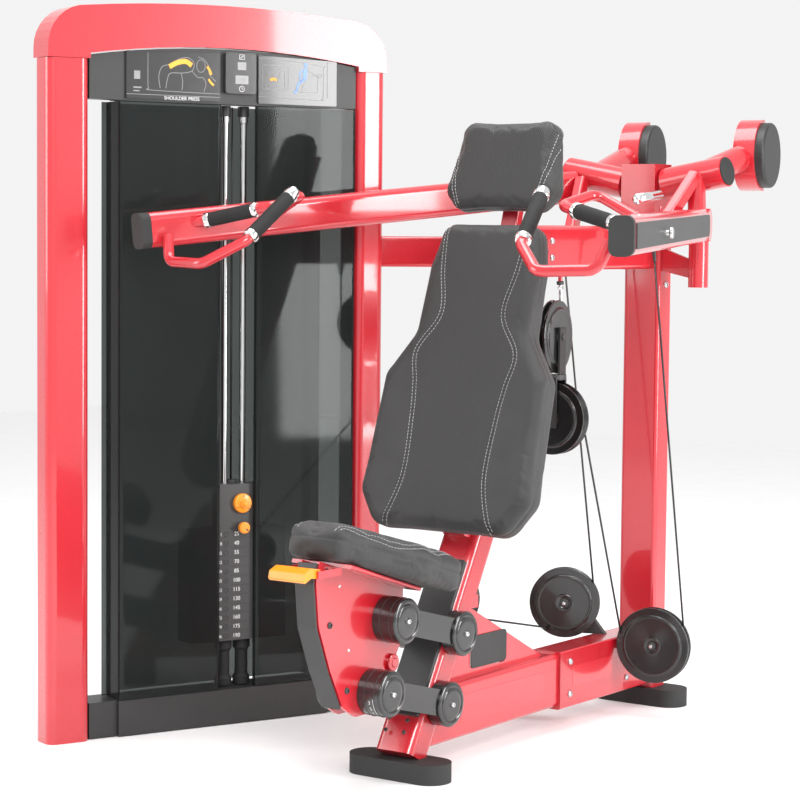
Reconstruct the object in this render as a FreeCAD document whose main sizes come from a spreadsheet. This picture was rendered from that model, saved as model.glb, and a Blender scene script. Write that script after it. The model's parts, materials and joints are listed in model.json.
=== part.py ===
import FreeCAD, Part
import Sketcher
import math
import os

# Shoulder press machine: weight tower, exercise frame, converging press arms,
# floating pulley block, parallelogram seat.  Millimetres.
# World frame: +X is the seated user's left, +Y is behind the user, +Z is up.
# The origin is the middle of the front foot on the floor.
os.makedirs("parts", exist_ok=True)
doc = FreeCAD.newDocument("shoulder_press")
V = FreeCAD.Vector
sheet = doc.addObject("Spreadsheet::Sheet", "dims")

DIMS = [
    ("towerX", -890.5), ("towerY", -175.1), ("towerYaw", 67.6),
    ("openingW", 820), ("leftColW", 121), ("rightColW", 92), ("colDepth", 92), ("colRadius", 24),
    ("colWall", 3), ("colTop", 1812), ("capPeak", 1970), ("capEdge", 1812), ("capSag", 32),
    ("capCorner", 110), ("capInner", 1826), ("headerLow", 1708), ("plinthTop", 100),
    ("shroudT", 4), ("slotU0", 391), ("slotU1", 500), ("shroudU0", 85), ("shroudU1", 816),
    ("flangeDepth", 78), ("slotLip", 18), ("knobU", 465), ("rodU0", 431), ("rodU1", 488), ("rodV", 62), ("rodDia", 19), ("rodBore", 21),
    ("plateW", 300), ("plateD", 84), ("plateH", 25.4), ("plateGap", 0.4), ("plateCount", 11),
    ("stackBase", 232), ("headH", 110), ("stemDia", 16), ("holeU", 417), ("stemV", 42), ("stackLift", 420),
    ("postW", 113), ("postD", 86), ("postR", 20), ("postWall", 4), ("postLean", 29.6), ("postLen", 655),
    ("columnW", 118), ("columnD", 76), ("columnY", 1218), ("columnTop", 1445),
    ("beamH", 88), ("beamW", 62), ("beamZ", 1309), ("spineH", 122), ("spineW", 62), ("spineZ", 1326),
    ("baseH", 148), ("baseW", 78), ("baseZ", 136),
    ("footL", 180), ("footR", 55), ("footH", 55),
    ("armH", 93), ("armW", 58), ("armR", 20), ("armWall", 4), ("armTipX", 716), ("armTipY", -169),
    ("armTipZ", 1362), ("leftArmX", 228), ("leftArmY", 1105), ("leftArmZ", 1392),
    ("rightArmX", 222), ("rightArmY", 1160), ("rightArmZ", 1500),
    ("hubDia", 88), ("hubBore", 51), ("axleDia", 50), ("hubIn", 66), ("hubOut", 258), ("hubTilt", 10), ("hubX", 155),
    ("hubY", 1200), ("hubZ", 1526),
    ("rearTubeDia", 76), ("weightDia", 190), ("weightT", 72), ("weightX", 235), ("weightY", 1560), ("weightZ", 1625),
    ("gripDia", 38), ("gripLen", 128), ("handleDia", 30),
    ("stopX", 174), ("stopDia", 57), ("stopLow", 1215), ("stopTop", 1436), ("bumperH", 14),
    ("pulleyDia", 212), ("pulleyRoot", 178), ("pulleyW", 34), ("pulleyBore", 20.4), ("pinDia", 20), ("cableDia", 6),
    ("padT", 72), ("headPadT", 66), ("seatT", 84), ("linkT", 33), ("linkEnd", 57), ("linkWaist", 33), ("linkIn", 60.5),
    ("shaftDia", 24), ("shaftBore", 24.6), ("carriageHalf", 30), ("carriageT", 8),
]
for row, (key, val) in enumerate(DIMS, start=1):
    sheet.set("A%d" % row, key)
    sheet.set("B%d" % row, str(val))
    sheet.setAlias("B%d" % row, key)
doc.recompute()
D = {key: float(sheet.get(key)) for key, _ in DIMS}


def frame_at(p, z_dir, x_hint=(1, 0, 0)):
    """Placement whose local Z runs along z_dir and whose local X is near x_hint."""
    z = V(*z_dir).normalize()
    x = V(*x_hint)
    x = (x - z * x.dot(z)).normalize()
    y = z.cross(x)
    m = FreeCAD.Matrix(x.x, y.x, z.x, p[0], x.y, y.y, z.y, p[1], x.z, y.z, z.z, p[2], 0, 0, 0, 1)
    return FreeCAD.Placement(m)


def plane_of(body, role):
    return [f for f in body.Origin.OriginFeatures if f.Role == role][0]


def new_sketch(body, role, name):
    sk = body.newObject("Sketcher::SketchObject", name)
    sk.AttachmentSupport = [(plane_of(body, role), "")]
    sk.MapMode = "FlatFace"
    return sk


def rounded_rect(sk, w, h, r, inset=""):
    """Centred rounded rectangle with its size bound to the sheet expressions w, h and r."""
    ev = {k: v for k, v in D.items()}
    W, H, R = [eval_dim(e, ev) for e in (w, h, r)]
    x, y = W / 2 - R, H / 2 - R
    g0 = sk.GeometryCount
    L, A = Part.LineSegment, Part.ArcOfCircle
    sk.addGeometry(L(V(-x, -H / 2, 0), V(x, -H / 2, 0)), False)
    sk.addGeometry(A(Part.Circle(V(x, -y, 0), V(0, 0, 1), R), -math.pi / 2, 0), False)
    sk.addGeometry(L(V(W / 2, -y, 0), V(W / 2, y, 0)), False)
    sk.addGeometry(A(Part.Circle(V(x, y, 0), V(0, 0, 1), R), 0, math.pi / 2), False)
    sk.addGeometry(L(V(x, H / 2, 0), V(-x, H / 2, 0)), False)
    sk.addGeometry(A(Part.Circle(V(-x, y, 0), V(0, 0, 1), R), math.pi / 2, math.pi), False)
    sk.addGeometry(L(V(-W / 2, y, 0), V(-W / 2, -y, 0)), False)
    sk.addGeometry(A(Part.Circle(V(-x, -y, 0), V(0, 0, 1), R), math.pi, 1.5 * math.pi), False)
    C = Sketcher.Constraint
    for i in range(0, 8, 2):
        sk.addConstraint(C("Tangent", g0 + i, 2, g0 + i + 1, 1))
        sk.addConstraint(C("Tangent", g0 + i + 1, 2, g0 + (i + 2) % 8, 1))
    for i in (0, 4):
        sk.addConstraint(C("Horizontal", g0 + i))
    for i in (2, 6):
        sk.addConstraint(C("Vertical", g0 + i))
    for i in (3, 5, 7):
        sk.addConstraint(C("Equal", g0 + 1, g0 + i))
    sk.addConstraint(C("Symmetric", g0 + 1, 3, g0 + 5, 3, -1, 1))
    n = sk.addConstraint(C("Radius", g0 + 1, R))
    sk.setExpression("Constraints[%d]" % n, r)
    n = sk.addConstraint(C("Distance", g0 + 0, 1, g0 + 4, H))
    sk.setExpression("Constraints[%d]" % n, h)
    n = sk.addConstraint(C("Distance", g0 + 6, 1, g0 + 2, W))
    sk.setExpression("Constraints[%d]" % n, w)


def eval_dim(expr, values):
    """Number behind a sheet expression made of dims.NAME, numbers, +, - and *."""
    total = 0.0
    for term in expr.replace(" ", "").replace("-", "+-").split("+"):
        if not term:
            continue
        prod = 1.0
        for fac in term.split("*"):
            sign = -1.0 if fac.startswith("-") else 1.0
            fac = fac.lstrip("-")
            prod *= sign * (values[fac[5:]] if fac.startswith("dims.") else float(fac))
        total += prod
    return total


def tube(label, w, h, r, wall, length, place):
    """Rounded box tube along local Z; wall "" gives a solid bar."""
    body = doc.addObject("PartDesign::Body", label)
    sk = new_sketch(body, "XY_Plane", label + "_section")
    rounded_rect(sk, w, h, r)
    if wall:
        rounded_rect(sk, w + " - 2 * " + wall, h + " - 2 * " + wall, r + " - " + wall)
    pad = body.newObject("PartDesign::Pad", label + "_pad")
    pad.Profile = sk
    if isinstance(length, str):
        pad.setExpression("Length", length)
    else:
        pad.Length = length
    body.Tip = pad
    body.Placement = place
    sk.Visibility = False
    return body


def outline(sk, pts):
    """Closed outline of (x, y, fillet radius) points drawn with lines and tangent arcs."""
    n = len(pts)
    segs = []
    for i in range(n):
        p, a, b = V(pts[i][0], pts[i][1], 0), V(*pts[i - 1][:2], 0), V(*pts[(i + 1) % n][:2], 0)
        r = pts[i][2] if len(pts[i]) > 2 else 0
        if r <= 0:
            segs.append((p, None, p))
            continue
        u, w = (a - p).normalize(), (b - p).normalize()
        half = u.getAngle(w) / 2
        t = r / math.tan(half)
        c = p + (u + w).normalize() * (r / math.sin(half))
        mid = c + (p - c).normalize() * r
        segs.append((p + u * t, mid, p + w * t))
    geo = []
    for i in range(n):
        s, m, e = segs[i]
        if m is not None:
            geo.append(Part.Arc(s, m, e))
        nxt = segs[(i + 1) % n][0]
        if (nxt - e).Length > 1e-6:
            geo.append(Part.LineSegment(e, nxt))
    ids = sk.addGeometry(geo, False)
    for k, gi in enumerate(ids):
        gj = ids[(k + 1) % len(ids)]
        ends = [((sk.getPoint(gi, a) - sk.getPoint(gj, b)).Length, a, b) for a in (2, 1) for b in (1, 2)]
        gap, a, b = min(ends, key=lambda e: e[0])
        if gap < 1e-3:
            sk.addConstraint(Sketcher.Constraint("Coincident", gi, a, gj, b))
    for gi in ids:
        sk.addConstraint(Sketcher.Constraint("Block", gi))


def slab(label, pts, length, place, role="XY_Plane", holes=(), mid=False, fillet=0, both_z=None):
    """Plate: outline padded by a length expression or number, with round holes."""
    body = doc.addObject("PartDesign::Body", label)
    sk = new_sketch(body, role, label + "_outline")
    outline(sk, pts)
    for (x, y, expr) in holes:
        gi = sk.addGeometry(Part.Circle(V(x, y, 0), V(0, 0, 1), eval_dim(expr, D) / 2), False)
        c = sk.addConstraint(Sketcher.Constraint("Diameter", gi, eval_dim(expr, D)))
        sk.setExpression("Constraints[%d]" % c, expr)
    pad = body.newObject("PartDesign::Pad", label + "_pad")
    pad.Profile = sk
    if mid:
        pad.SideType = "Symmetric"
    if isinstance(length, str):
        pad.setExpression("Length", length)
    else:
        pad.Length = length
    body.Tip = pad
    body.Placement = place
    sk.Visibility = False
    return body


def turned(label, pts, place):
    """Turned part: half profile of (radius, height) points spun about local Z."""
    body = doc.addObject("PartDesign::Body", label)
    sk = new_sketch(body, "XZ_Plane", label + "_profile")
    outline(sk, pts)
    rev = body.newObject("PartDesign::Revolution", label + "_turn")
    rev.Profile = sk
    rev.ReferenceAxis = (sk, ["V_Axis"])
    rev.Angle = 360
    body.Tip = rev
    body.Placement = place
    sk.Visibility = False
    return body


def cyl(label, dia, height, place):
    o = doc.addObject("Part::Cylinder", label)
    if isinstance(dia, str):
        o.setExpression("Radius", "(" + dia + ") / 2")
    else:
        o.Radius = dia / 2
    if isinstance(height, str):
        o.setExpression("Height", height)
    else:
        o.Height = height
    o.Placement = place
    return o


def box(label, size, p, rot=None):
    o = doc.addObject("Part::Box", label)
    for prop, s in zip(("Length", "Width", "Height"), size):
        if isinstance(s, str):
            o.setExpression(prop, s)
        else:
            setattr(o, prop, s)
    o.Placement = FreeCAD.Placement(V(*p), rot or FreeCAD.Rotation())
    return o


def fuse(label, parts):
    o = doc.addObject("Part::MultiFuse", label)
    o.Shapes = parts
    o.Refine = True
    return o


def cut(label, base, tool):
    o = doc.addObject("Part::Cut", label)
    o.Base, o.Tool = base, tool
    o.Refine = True
    return o


def group(label, parts):
    o = doc.addObject("Part::Compound", label)
    o.Links = parts
    return o


def span(p, q):
    return math.dist(p, q)


def cyl_between(label, dia, p, q):
    return cyl(label, dia, span(p, q), frame_at(p, V(*q) - V(*p)))


def bent_rod(label, dia, pts, bend):
    """Round bar or cable swept along straight runs with rounded corners."""
    edges = []
    ps = [V(*p) for p in pts]
    start = ps[0]
    for i in range(1, len(ps) - 1):
        u, w = (ps[i - 1] - ps[i]).normalize(), (ps[i + 1] - ps[i]).normalize()
        half = u.getAngle(w) / 2
        t = bend / math.tan(half)
        c = ps[i] + (u + w).normalize() * (bend / math.sin(half))
        a, b = ps[i] + u * t, ps[i] + w * t
        edges.append(Part.LineSegment(start, a).toShape())
        edges.append(Part.Arc(a, c + (ps[i] - c).normalize() * bend, b).toShape())
        start = b
    edges.append(Part.LineSegment(start, ps[-1]).toShape())
    path = Part.Wire(edges)
    ring = Part.Wire(Part.Circle(ps[0], (ps[1] - ps[0]).normalize(), dia / 2).toShape())
    o = doc.addObject("Part::Feature", label)
    o.Shape = path.makePipeShell([ring], True, True)
    return o


NODES = []


def node(obj, label=None):
    if label:
        obj.Label = label
    NODES.append(obj)
    return obj


# ------------------------------------------------------------------ weight tower
yaw = FreeCAD.Rotation(V(0, 0, 1), D["towerYaw"])
TOWER = FreeCAD.Placement(V(D["towerX"], D["towerY"], 0), yaw)


def tower(p=(0, 0, 0), rot=None):
    """Placement in the tower frame: x across the opening, y to the back, z up."""
    return TOWER.multiply(FreeCAD.Placement(V(*p), rot or FreeCAD.Rotation()))


def tower_point(u, v, z):
    return tuple(TOWER.multVec(V(u, v, z)))


W, LW, RW, CD = D["openingW"], D["leftColW"], D["rightColW"], D["colDepth"]
left = tube("left_column", "dims.leftColW", "dims.colDepth", "dims.colRadius", "dims.colWall",
            "dims.colTop - 1", tower((-LW / 2, CD / 2, 0)))
right = tube("right_column", "dims.rightColW", "dims.colDepth", "dims.colRadius", "dims.colWall",
             "dims.colTop - 1", tower((W + RW / 2, CD / 2, 0)))
node(left)
node(right)
right_env = tube("right_column_room", "dims.rightColW", "dims.colDepth", "dims.colRadius", "",
                 "dims.colTop - 1", tower((W + RW / 2, CD / 2, 0)))

XZ_UP = FreeCAD.Rotation(V(1, 0, 0), 90)


def arch(u, peak, sag):
    """Height of the arched cap above the tower floor at u."""
    mid, half = (W + RW - LW) / 2, (W + RW + LW) / 2
    return peak - sag * ((u - mid) / half) ** 2


def arch_points(u0, u1, peak, sag, n=10):
    return [(u0 + (u1 - u0) * i / n, arch(u0 + (u1 - u0) * i / n, peak, sag)) for i in range(n + 1)]


c = D["capCorner"]
outer = [(-LW, D["capEdge"])]
for k in range(0, 9):
    a = math.pi - k * math.pi / 2 / 8
    outer.append((-LW + c + c * math.cos(a), arch(-LW + c, D["capPeak"], D["capSag"]) - c + c * math.sin(a)))
outer += arch_points(-LW + c, W + RW - c, D["capPeak"], D["capSag"])[1:-1]
for k in range(0, 9):
    a = math.pi / 2 - k * math.pi / 2 / 8
    outer.append((W + RW - c + c * math.cos(a), arch(W + RW - c, D["capPeak"], D["capSag"]) - c + c * math.sin(a)))
outer.append((W + RW, D["capEdge"]))
inner = [(W, D["capEdge"]), (W, D["capInner"])]
inner += [(u, D["capInner"] + 31 * (1 - ((u - W / 2) / (W / 2)) ** 2)) for u in
          [W - W * i / 12 for i in range(1, 12)]]
inner += [(0, D["capInner"]), (0, D["capEdge"])]
cap = slab("top_cap_solid", [(x, y, 0) for x, y in outer + inner], "dims.colDepth + 3",
           tower((0, CD + 1.5, 0), XZ_UP))
cap_node = doc.addObject("Part::Refine", "top_cap")
cap_node.Source = cap
node(cap_node)

# header behind the cap: recessed block plus the raised face that carries placards and counter
HL = D["headerLow"]
hp = [(2, HL), (84, HL), (84, HL - 2), (W - 84, HL - 2), (W - 84, HL), (W - 2, HL), (W - 2, D["capInner"] - 3)]
hp += [(u, D["capInner"] - 3 + 31 * (1 - ((u - W / 2) / (W / 2)) ** 2)) for u in
       [W - W * i / 12 for i in range(1, 12)]]
hp += [(2, D["capInner"] - 3)]
node(slab("header_panel", [(x, y, 0) for x, y in hp], 50, tower((0, 62, 0), XZ_UP)))
pl = [(106, 1712, 4), (386, 1712, 4), (386, 1843, 4), (106, 1838, 4)]
pr = [(504, 1712, 4), (752, 1712, 4), (752, 1836, 4), (504, 1843, 4)]
p1 = slab("placard_a", pl, 6, tower((0, 11.6, 0), XZ_UP))
p2 = slab("placard_b", pr, 6, tower((0, 11.6, 0), XZ_UP))
node(group("placards", [p1, p2]))
node(slab("rep_counter", [(398, 1736, 8), (492, 1736, 8), (492, 1846, 8), (398, 1846, 8)], 15,
          tower((0, 11.6, 0), XZ_UP)))

# smoked covers: front panels with returned edges, one rear cover
PT, SZ0 = D["plinthTop"], D["headerLow"] - 3


def shroud(label, u0, u1, back0, back1):
    """Channel-shaped cover between u0 and u1, returned to the back at both edges."""
    t = D["shroudT"]
    pts = [(u0, back0, 0), (u0, 0, 12), (u1, 0, 12), (u1, back1, 0), (u1 - t, back1, 0),
           (u1 - t, t, 8), (u0 + t, t, 8), (u0 + t, back0, 0)]
    return node(slab(label, pts, SZ0 - PT - 2, tower((0, 0, PT + 1))))


shroud("shroud_left", D["shroudU0"], D["slotU0"], D["flangeDepth"], D["slotLip"])
shroud("shroud_right", D["slotU1"], D["shroudU1"], D["slotLip"], D["flangeDepth"])
t = D["shroudT"]
rear = [(72, 84, 0), (96, 84, 6), (110, 134, 16), (W - 110, 134, 16), (W - 96, 84, 6), (W - 72, 84, 0),
        (W - 72, 84 + t, 0), (W - 92, 84 + t, 6), (W - 107, 134 + t, 18), (107, 134 + t, 18),
        (92, 84 + t, 6), (72, 84 + t, 0)]
node(slab("rear_shroud", rear, SZ0 - PT - 2, tower((0, 0, PT + 1))))

# plinth: cross box that ties the column feet and carries the rods
pb = box("plinth_box", (W - 4, 112, D["plinthTop"] - 4), (0, 0, 0))
pb.Placement = tower((2, 3, 3))
pn = box("plinth_notch_a", (84, 14, 300), (0, 0, 0))
pn.Placement = tower((0, 0, -20))
plinth1 = cut("plinth_cut_a", pb, pn)
pn2 = box("plinth_notch_b", (84, 14, 300), (0, 0, 0))
pn2.Placement = tower((W - 84, 0, -20))
node(cut("plinth", plinth1, pn2))

RU0, RU1, RV = D["rodU0"], D["rodU1"], D["rodV"]
PC = (RU0 + RU1) / 2
rods = []
for i, u in enumerate((RU0, RU1)):
    rods.append(cyl("rod_%d" % i, "dims.rodDia", HL - PT - 4, tower((u, RV, PT))))
node(group("guide_rods", rods))
bump = []
for i, u in enumerate((RU0, RU1)):
    prof = [(D["rodBore"] / 2, 0, 0), (24, 0, 2), (24, 22, 3), (18, 30, 3), (18, 96, 3), (24, 104, 3), (24, 128, 2),
            (D["rodBore"] / 2, 128, 0)]
    bump.append(turned("stack_bumper_%d" % i, prof, tower((u, RV, PT + 1))))
node(group("stack_bumpers", bump))

HU, SV = D["holeU"], D["stemV"]
PW, PD, PH, PG = D["plateW"], D["plateD"], D["plateH"], D["plateGap"]
SB = D["stackBase"]


def stack_plate(label, z, height, slot):
    """Cast plate with two rod bores, a stem bore and a pin slot in the front edge."""
    b = doc.addObject("PartDesign::Body", label)
    sk = new_sketch(b, "XY_Plane", label + "_outline")
    rounded_rect(sk, "dims.plateW", "dims.plateD", "8")
    bores = [(RU0 - PC, 0, "dims.rodBore"), (RU1 - PC, 0, "dims.rodBore")]
    if slot:
        bores.append((HU - PC, SV - RV, "dims.stemDia + 2"))
    for x, y, expr in bores:
        g = sk.addGeometry(Part.Circle(V(x, y, 0), V(0, 0, 1), eval_dim(expr, D) / 2), False)
        k = sk.addConstraint(Sketcher.Constraint("Diameter", g, eval_dim(expr, D)))
        sk.setExpression("Constraints[%d]" % k, expr)
    pad = b.newObject("PartDesign::Pad", label + "_pad")
    pad.Profile = sk
    pad.Length = height
    b.Tip = pad
    doc.recompute()
    if slot:
        s2 = new_sketch(b, "XZ_Plane", label + "_pinhole")
        g = s2.addGeometry(Part.Circle(V(HU - PC, height / 2, 0), V(0, 0, 1), 5.5), False)
        s2.addConstraint(Sketcher.Constraint("Radius", g, 5.5))
        pk = b.newObject("PartDesign::Pocket", label + "_pin_pocket")
        pk.Profile = s2
        pk.Type = "Length"
        pk.Length = PD / 2 + 2
        pk.Reversed = False
        b.Tip = pk
    b.Placement = tower((PC, RV, z))
    return b


plates = []
for i in range(int(D["plateCount"])):
    plates.append(stack_plate("plate_%02d" % i, SB + i * (PH + PG), PH, True))
node(group("weight_plates", plates))
top_z = SB + D["plateCount"] * (PH + PG)
head = stack_plate("head_plate_block", top_z, PH, False)
shelf = box("head_plate_shelf", (126, 40, 126), (0, 0, 0))
shelf.Placement = tower((PC - 63, RV - PD / 2 + 2, top_z + PH - 1))
clamp = cyl("head_plate_clamp", 34, 134, tower((PC, RV + 12, top_z + PH - 1)))
hb = []
for u in (RU0, RU1):
    hb.append(cyl("head_sleeve_%d" % len(hb), "dims.rodBore + 9", 62, tower((u, RV, top_z + PH - 1))))
hf = fuse("head_plate_fused", [head, shelf, clamp] + hb)
bores = [cyl("head_bore_%d" % i, "dims.rodBore", 240, tower((u, RV, top_z - 10))) for i, u in enumerate((RU0, RU1))]
pin_z = top_z + PH + 4.5
bores.append(cyl("pin_park", 11, 60, tower((D["knobU"], 5 + 60, pin_z), XZ_UP)))
node(cut("head_plate", hf, fuse("head_bores", bores)))
node(cyl("selector_stem", "dims.stemDia", D["plateCount"] * (PH + PG) - 5.5, tower((HU, SV, SB + 5))))
dial = turned("dial_turned", [(0, 0, 0), (27, 0, 2), (27, 14, 5), (13, 16, 2), (13, 24, 3), (0, 24, 0)],
              tower((D["knobU"], RV - PD / 2 + 1.5, top_z + PH + 72), XZ_UP))
node(dial, "increment_dial")
pin = turned("pin_turned", [(0, -34, 0), (4.5, -34, 1), (4.5, 6, 0), (16, 6, 3), (16, 22, 4), (0, 22, 0)],
             tower((D["knobU"], RV - PD / 2 - 2, pin_z), XZ_UP))
node(pin, "selector_pin")

# ------------------------------------------------------------------ exercise frame
BACK = ((0, 140, 600), 16.9)
HEAD = ((0, 400, 1425), 15.9)
SEAT = ((0, -363, 678), 16.8)


def pad_point(pad, x, s, d):
    """World point at x across, s up the pad face and d out of it."""
    (ox, oy, oz), ang = pad
    sn, cs = math.sin(math.radians(ang)), math.cos(math.radians(ang))
    return (ox + x, oy + s * sn - d * cs, oz + s * cs + d * sn)


def pad_frame(pad, x, s, d):
    """Placement for bars that run up the pad: local z up the pad, local x sideways."""
    sn, cs = math.sin(math.radians(pad[1])), math.cos(math.radians(pad[1]))
    return frame_at(pad_point(pad, x, s, d), (0, sn, cs))


def pad_face(pad, d):
    """Placement for outlines drawn on the pad face: local y up the pad, local z outwards."""
    return FreeCAD.Placement(V(*pad_point(pad, 0, 0, d)), FreeCAD.Rotation(V(1, 0, 0), 90 - pad[1]))


lean = math.radians(D["postLean"])
post_dir = (0, math.sin(lean), math.cos(lean))
CY = D["columnY"]
post_bar = tube("post_bar", "dims.postW", "dims.postD", "dims.postR", "", "dims.postLen",
                frame_at((0, 0, 50), post_dir))
column_bar = tube("column_bar", "dims.columnW", "dims.columnD", "12", "", "dims.columnTop - 50",
                  frame_at((0, CY, 50), (0, 0, 1)))
# uprights parallel to the pads, from the post head past the spine beam
pad_upright = tube("pad_upright", "70", "50", "10", "", 790, pad_frame(BACK, 0, 15, -D["padT"] - 12 - 25))
head_upright = tube("head_upright", "50", "30", "6", "", 262, pad_frame(HEAD, 0, -62, -D["headPadT"] - 10 - 15))
front, rear, top, base = [post_bar, pad_upright, head_upright], [column_bar], [], []
# top beam to the weight tower, and the spine beam from the column forward to the back pad
bt = tower_point(W + RW - 6, 46, D["beamZ"])
be = (-30.0, CY, D["beamZ"])
bdir = V(*be) - V(*bt)
top.append(tube("tower_beam", "dims.beamW", "dims.beamH", "12", "", bdir.Length,
                frame_at(bt, bdir, (bdir.y, -bdir.x, 0))))
top.append(tube("spine_beam", "dims.spineW", "dims.spineH", "14", "", CY - 470,
                frame_at((0, 470, D["spineZ"]), (0, 1, 0))))
# base: straight member, rear socket, upper gusset, low tie to the tower
base.append(tube("base_beam", "dims.baseW", "dims.baseH", "14", "", 640,
                 frame_at((0, 60, D["baseZ"]), (0, 1, 0.012))))
base.append(tube("base_socket", "dims.baseW + 14", "dims.baseH + 12", "6", "", 520,
                 frame_at((0, 690, D["baseZ"] + 6), (0, 1, 0))))
gus = slab("base_gusset", [(118, 190, 0), (232, 405, 10), (284, 398, 16), (660, 212, 20), (720, 190, 0)], 16,
           FreeCAD.Placement(V(-8, 0, 0), FreeCAD.Rotation(V(1, 1, 1), 120)))
win = slab("base_window", [(300, 232, 8), (300, 318, 8), (470, 236, 8), (462, 226, 4)], 40,
           FreeCAD.Placement(V(-20, 0, 0), FreeCAD.Rotation(V(1, 1, 1), 120)))
base.append(cut("base_gusset_cut", gus, win))
tt = tower_point(W + 25, 13.8, 60)
te = (0.0, 860.0, 96.0)
tdir = V(*te) - V(*tt)
base.append(tube("base_tie", "60", "70", "10", "", tdir.Length, frame_at(tt, tdir, (tdir.y, -tdir.x, 0))))
# pivot head: cheeks on the column that carry the two tilted arm axles
pivot = box("pivot_block", (110, 96, 150), (-55, D["hubY"] - 48, 1415))
rear.append(pivot)
SX = D["stopX"]
rear.append(cyl("stop_tube", "dims.stopDia", "dims.stopTop - dims.stopLow", frame_at((SX, 1200, D["stopLow"]), (0, 0, 1))))
sg = slab("stop_gusset", [(50, 1330, 0), (SX - 10, 1290, 0), (SX - 10, 1238, 0), (50, 1262, 0)], 12,
          frame_at((0, 1206, 0), (0, -1, 0)))
rear.append(sg)

# pivots of the seat linkage on the post
PIV = {"upper_front": (-111.0, 417.5), "upper_rear": (146.0, 352.0),
       "lower_front": (-171.0, 245.5), "lower_rear": (86.0, 180.0)}


def x_rod(label, dia, y, z, x0, x1):
    """Round bar along X between x0 and x1."""
    return cyl(label, dia, x1 - x0, frame_at((x0, y, z), (1, 0, 0), (0, 1, 0)))


for key in ("upper_rear", "lower_rear"):
    y, z = PIV[key]
    front.append(x_rod("shaft_" + key, "dims.shaftDia", y, z, -92, 92))

# tilted axles for the two press arms
tilt = math.radians(D["hubTilt"])


def hub_point(sgn, x):
    return (sgn * x, D["hubY"], D["hubZ"] + (x - D["hubX"]) * math.tan(tilt))


def hub_dir(sgn):
    return (sgn * math.cos(tilt), 0, math.sin(tilt))


for sgn, nm in ((1, "left"), (-1, "right")):
    rear.append(cyl("axle_" + nm, "dims.axleDia", (D["hubOut"] - 20) / math.cos(tilt),
                    frame_at(hub_point(sgn, 10), hub_dir(sgn), (0, 1, 0))))

# brackets and pins of the fixed pulleys
REAR_P, REAR_A = (160.0, 1003.0, 211.7), (0.187, -0.982, 0.0)
FAR_P, FAR_A = (-100.0, 947.5, 314.8), (0.423, -0.906, 0.0)
SEAT_P, SEAT_A = (-50.0, 370.0, 395.0), (0.996, 0.09, 0.0)


def along(p, d, k):
    return tuple(p[i] + d[i] * k for i in range(3))


base.append(cyl_between("rear_pin", "dims.pinDia", along(REAR_P, REAR_A, 19), along(REAR_P, REAR_A, -46)))
base.append(box("rear_pulley_lug", (150, 14, 60), (40, 1036, 182)))
front.append(cyl_between("seat_pin", 16, along(SEAT_P, SEAT_A, -24), along(SEAT_P, SEAT_A, 24)))
for k in (-24, 18):
    q = along(SEAT_P, SEAT_A, k)
    front.append(box("seat_fork_%d" % (k + 24), (6, 172, 34), (q[0], 215, SEAT_P[2] - 17)))
top.append(cyl_between("anchor_rod", 12, (0, 735, 1230), (0, 735, 1275)))
top.append(cyl_between("cable_gland", 22, (0, 621, 1250), (0, 621, 1275)))
gland_bore = cyl("gland_bore", 8, 60, frame_at((0, 621, 1240), (0, 0, 1)))
front_post = node(fuse("front_post", front))
rear_column = node(fuse("rear_column", rear))
top_room = fuse("top_frame_room", [front_post, rear_column, gland_bore, right_env])
node(cut("top_frame", fuse("top_frame_raw", top), top_room))
base_room = fuse("base_frame_room", [front_post, rear_column, right_env])
node(cut("base_frame", fuse("base_frame_raw", base), base_room))


def stadium(length, r):
    return [(-length / 2 - r, -r, r - 0.5), (length / 2 + r, -r, r - 0.5),
            (length / 2 + r, r, r - 0.5), (-length / 2 - r, r, r - 0.5)]


feet = []
for nm, y in (("front_foot", 0), ("rear_foot", D["columnY"])):
    foot = slab(nm, stadium(D["footL"], D["footR"]), "dims.footH - 5.2",
                FreeCAD.Placement(V(0, y, 0), FreeCAD.Rotation()))
    feet.append(cut(nm + "_socket", foot, post_bar) if y == 0 else foot)
node(group("rubber_feet", feet))

node(slab("post_cover", [(-50, 95, 6), (50, 95, 6), (50, 520, 6), (-50, 520, 6)], 12,
          frame_at(tuple(V(0, 0, 50) + V(0, math.cos(lean), -math.sin(lean)) * -43.2),
                   (0, -math.cos(lean), math.sin(lean)))))

fb = cyl_between("far_bracket_pin", "dims.pinDia", along(FAR_P, FAR_A, 19), along(FAR_P, FAR_A, -40))
fq = along(FAR_P, FAR_A, -32)
fbar = tube("far_bracket_bar", "56", "16", "6", "", 190,
            frame_at(along(fq, (-0.35, 0, 1), 30), (0.62, 0.28, -0.9), (0.82, 0.36, 0.5)))
fcut = box("far_bracket_trim", (400, 400, 200), (-250, 800, 22.2))
node(cut("pulley_bracket", fuse("far_bracket_raw", [fb, fbar]), fcut))

# ------------------------------------------------------------------ pulleys


def pulley(label, dia, root, width, bore, place):
    h = width / 2
    pts = [(bore / 2, -h, 0), (dia / 2 - 22, -h, 4), (dia / 2 - 20, -h + 3, 4), (dia / 2, -h + 3, 2),
           (dia / 2, -h + 8, 1), (root / 2, -4, 3), (root / 2, 4, 3), (dia / 2, h - 8, 1), (dia / 2, h - 3, 2),
           (dia / 2 - 20, h - 3, 4), (dia / 2 - 22, h, 4), (bore / 2, h, 0)]
    return turned(label, pts, place)


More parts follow.
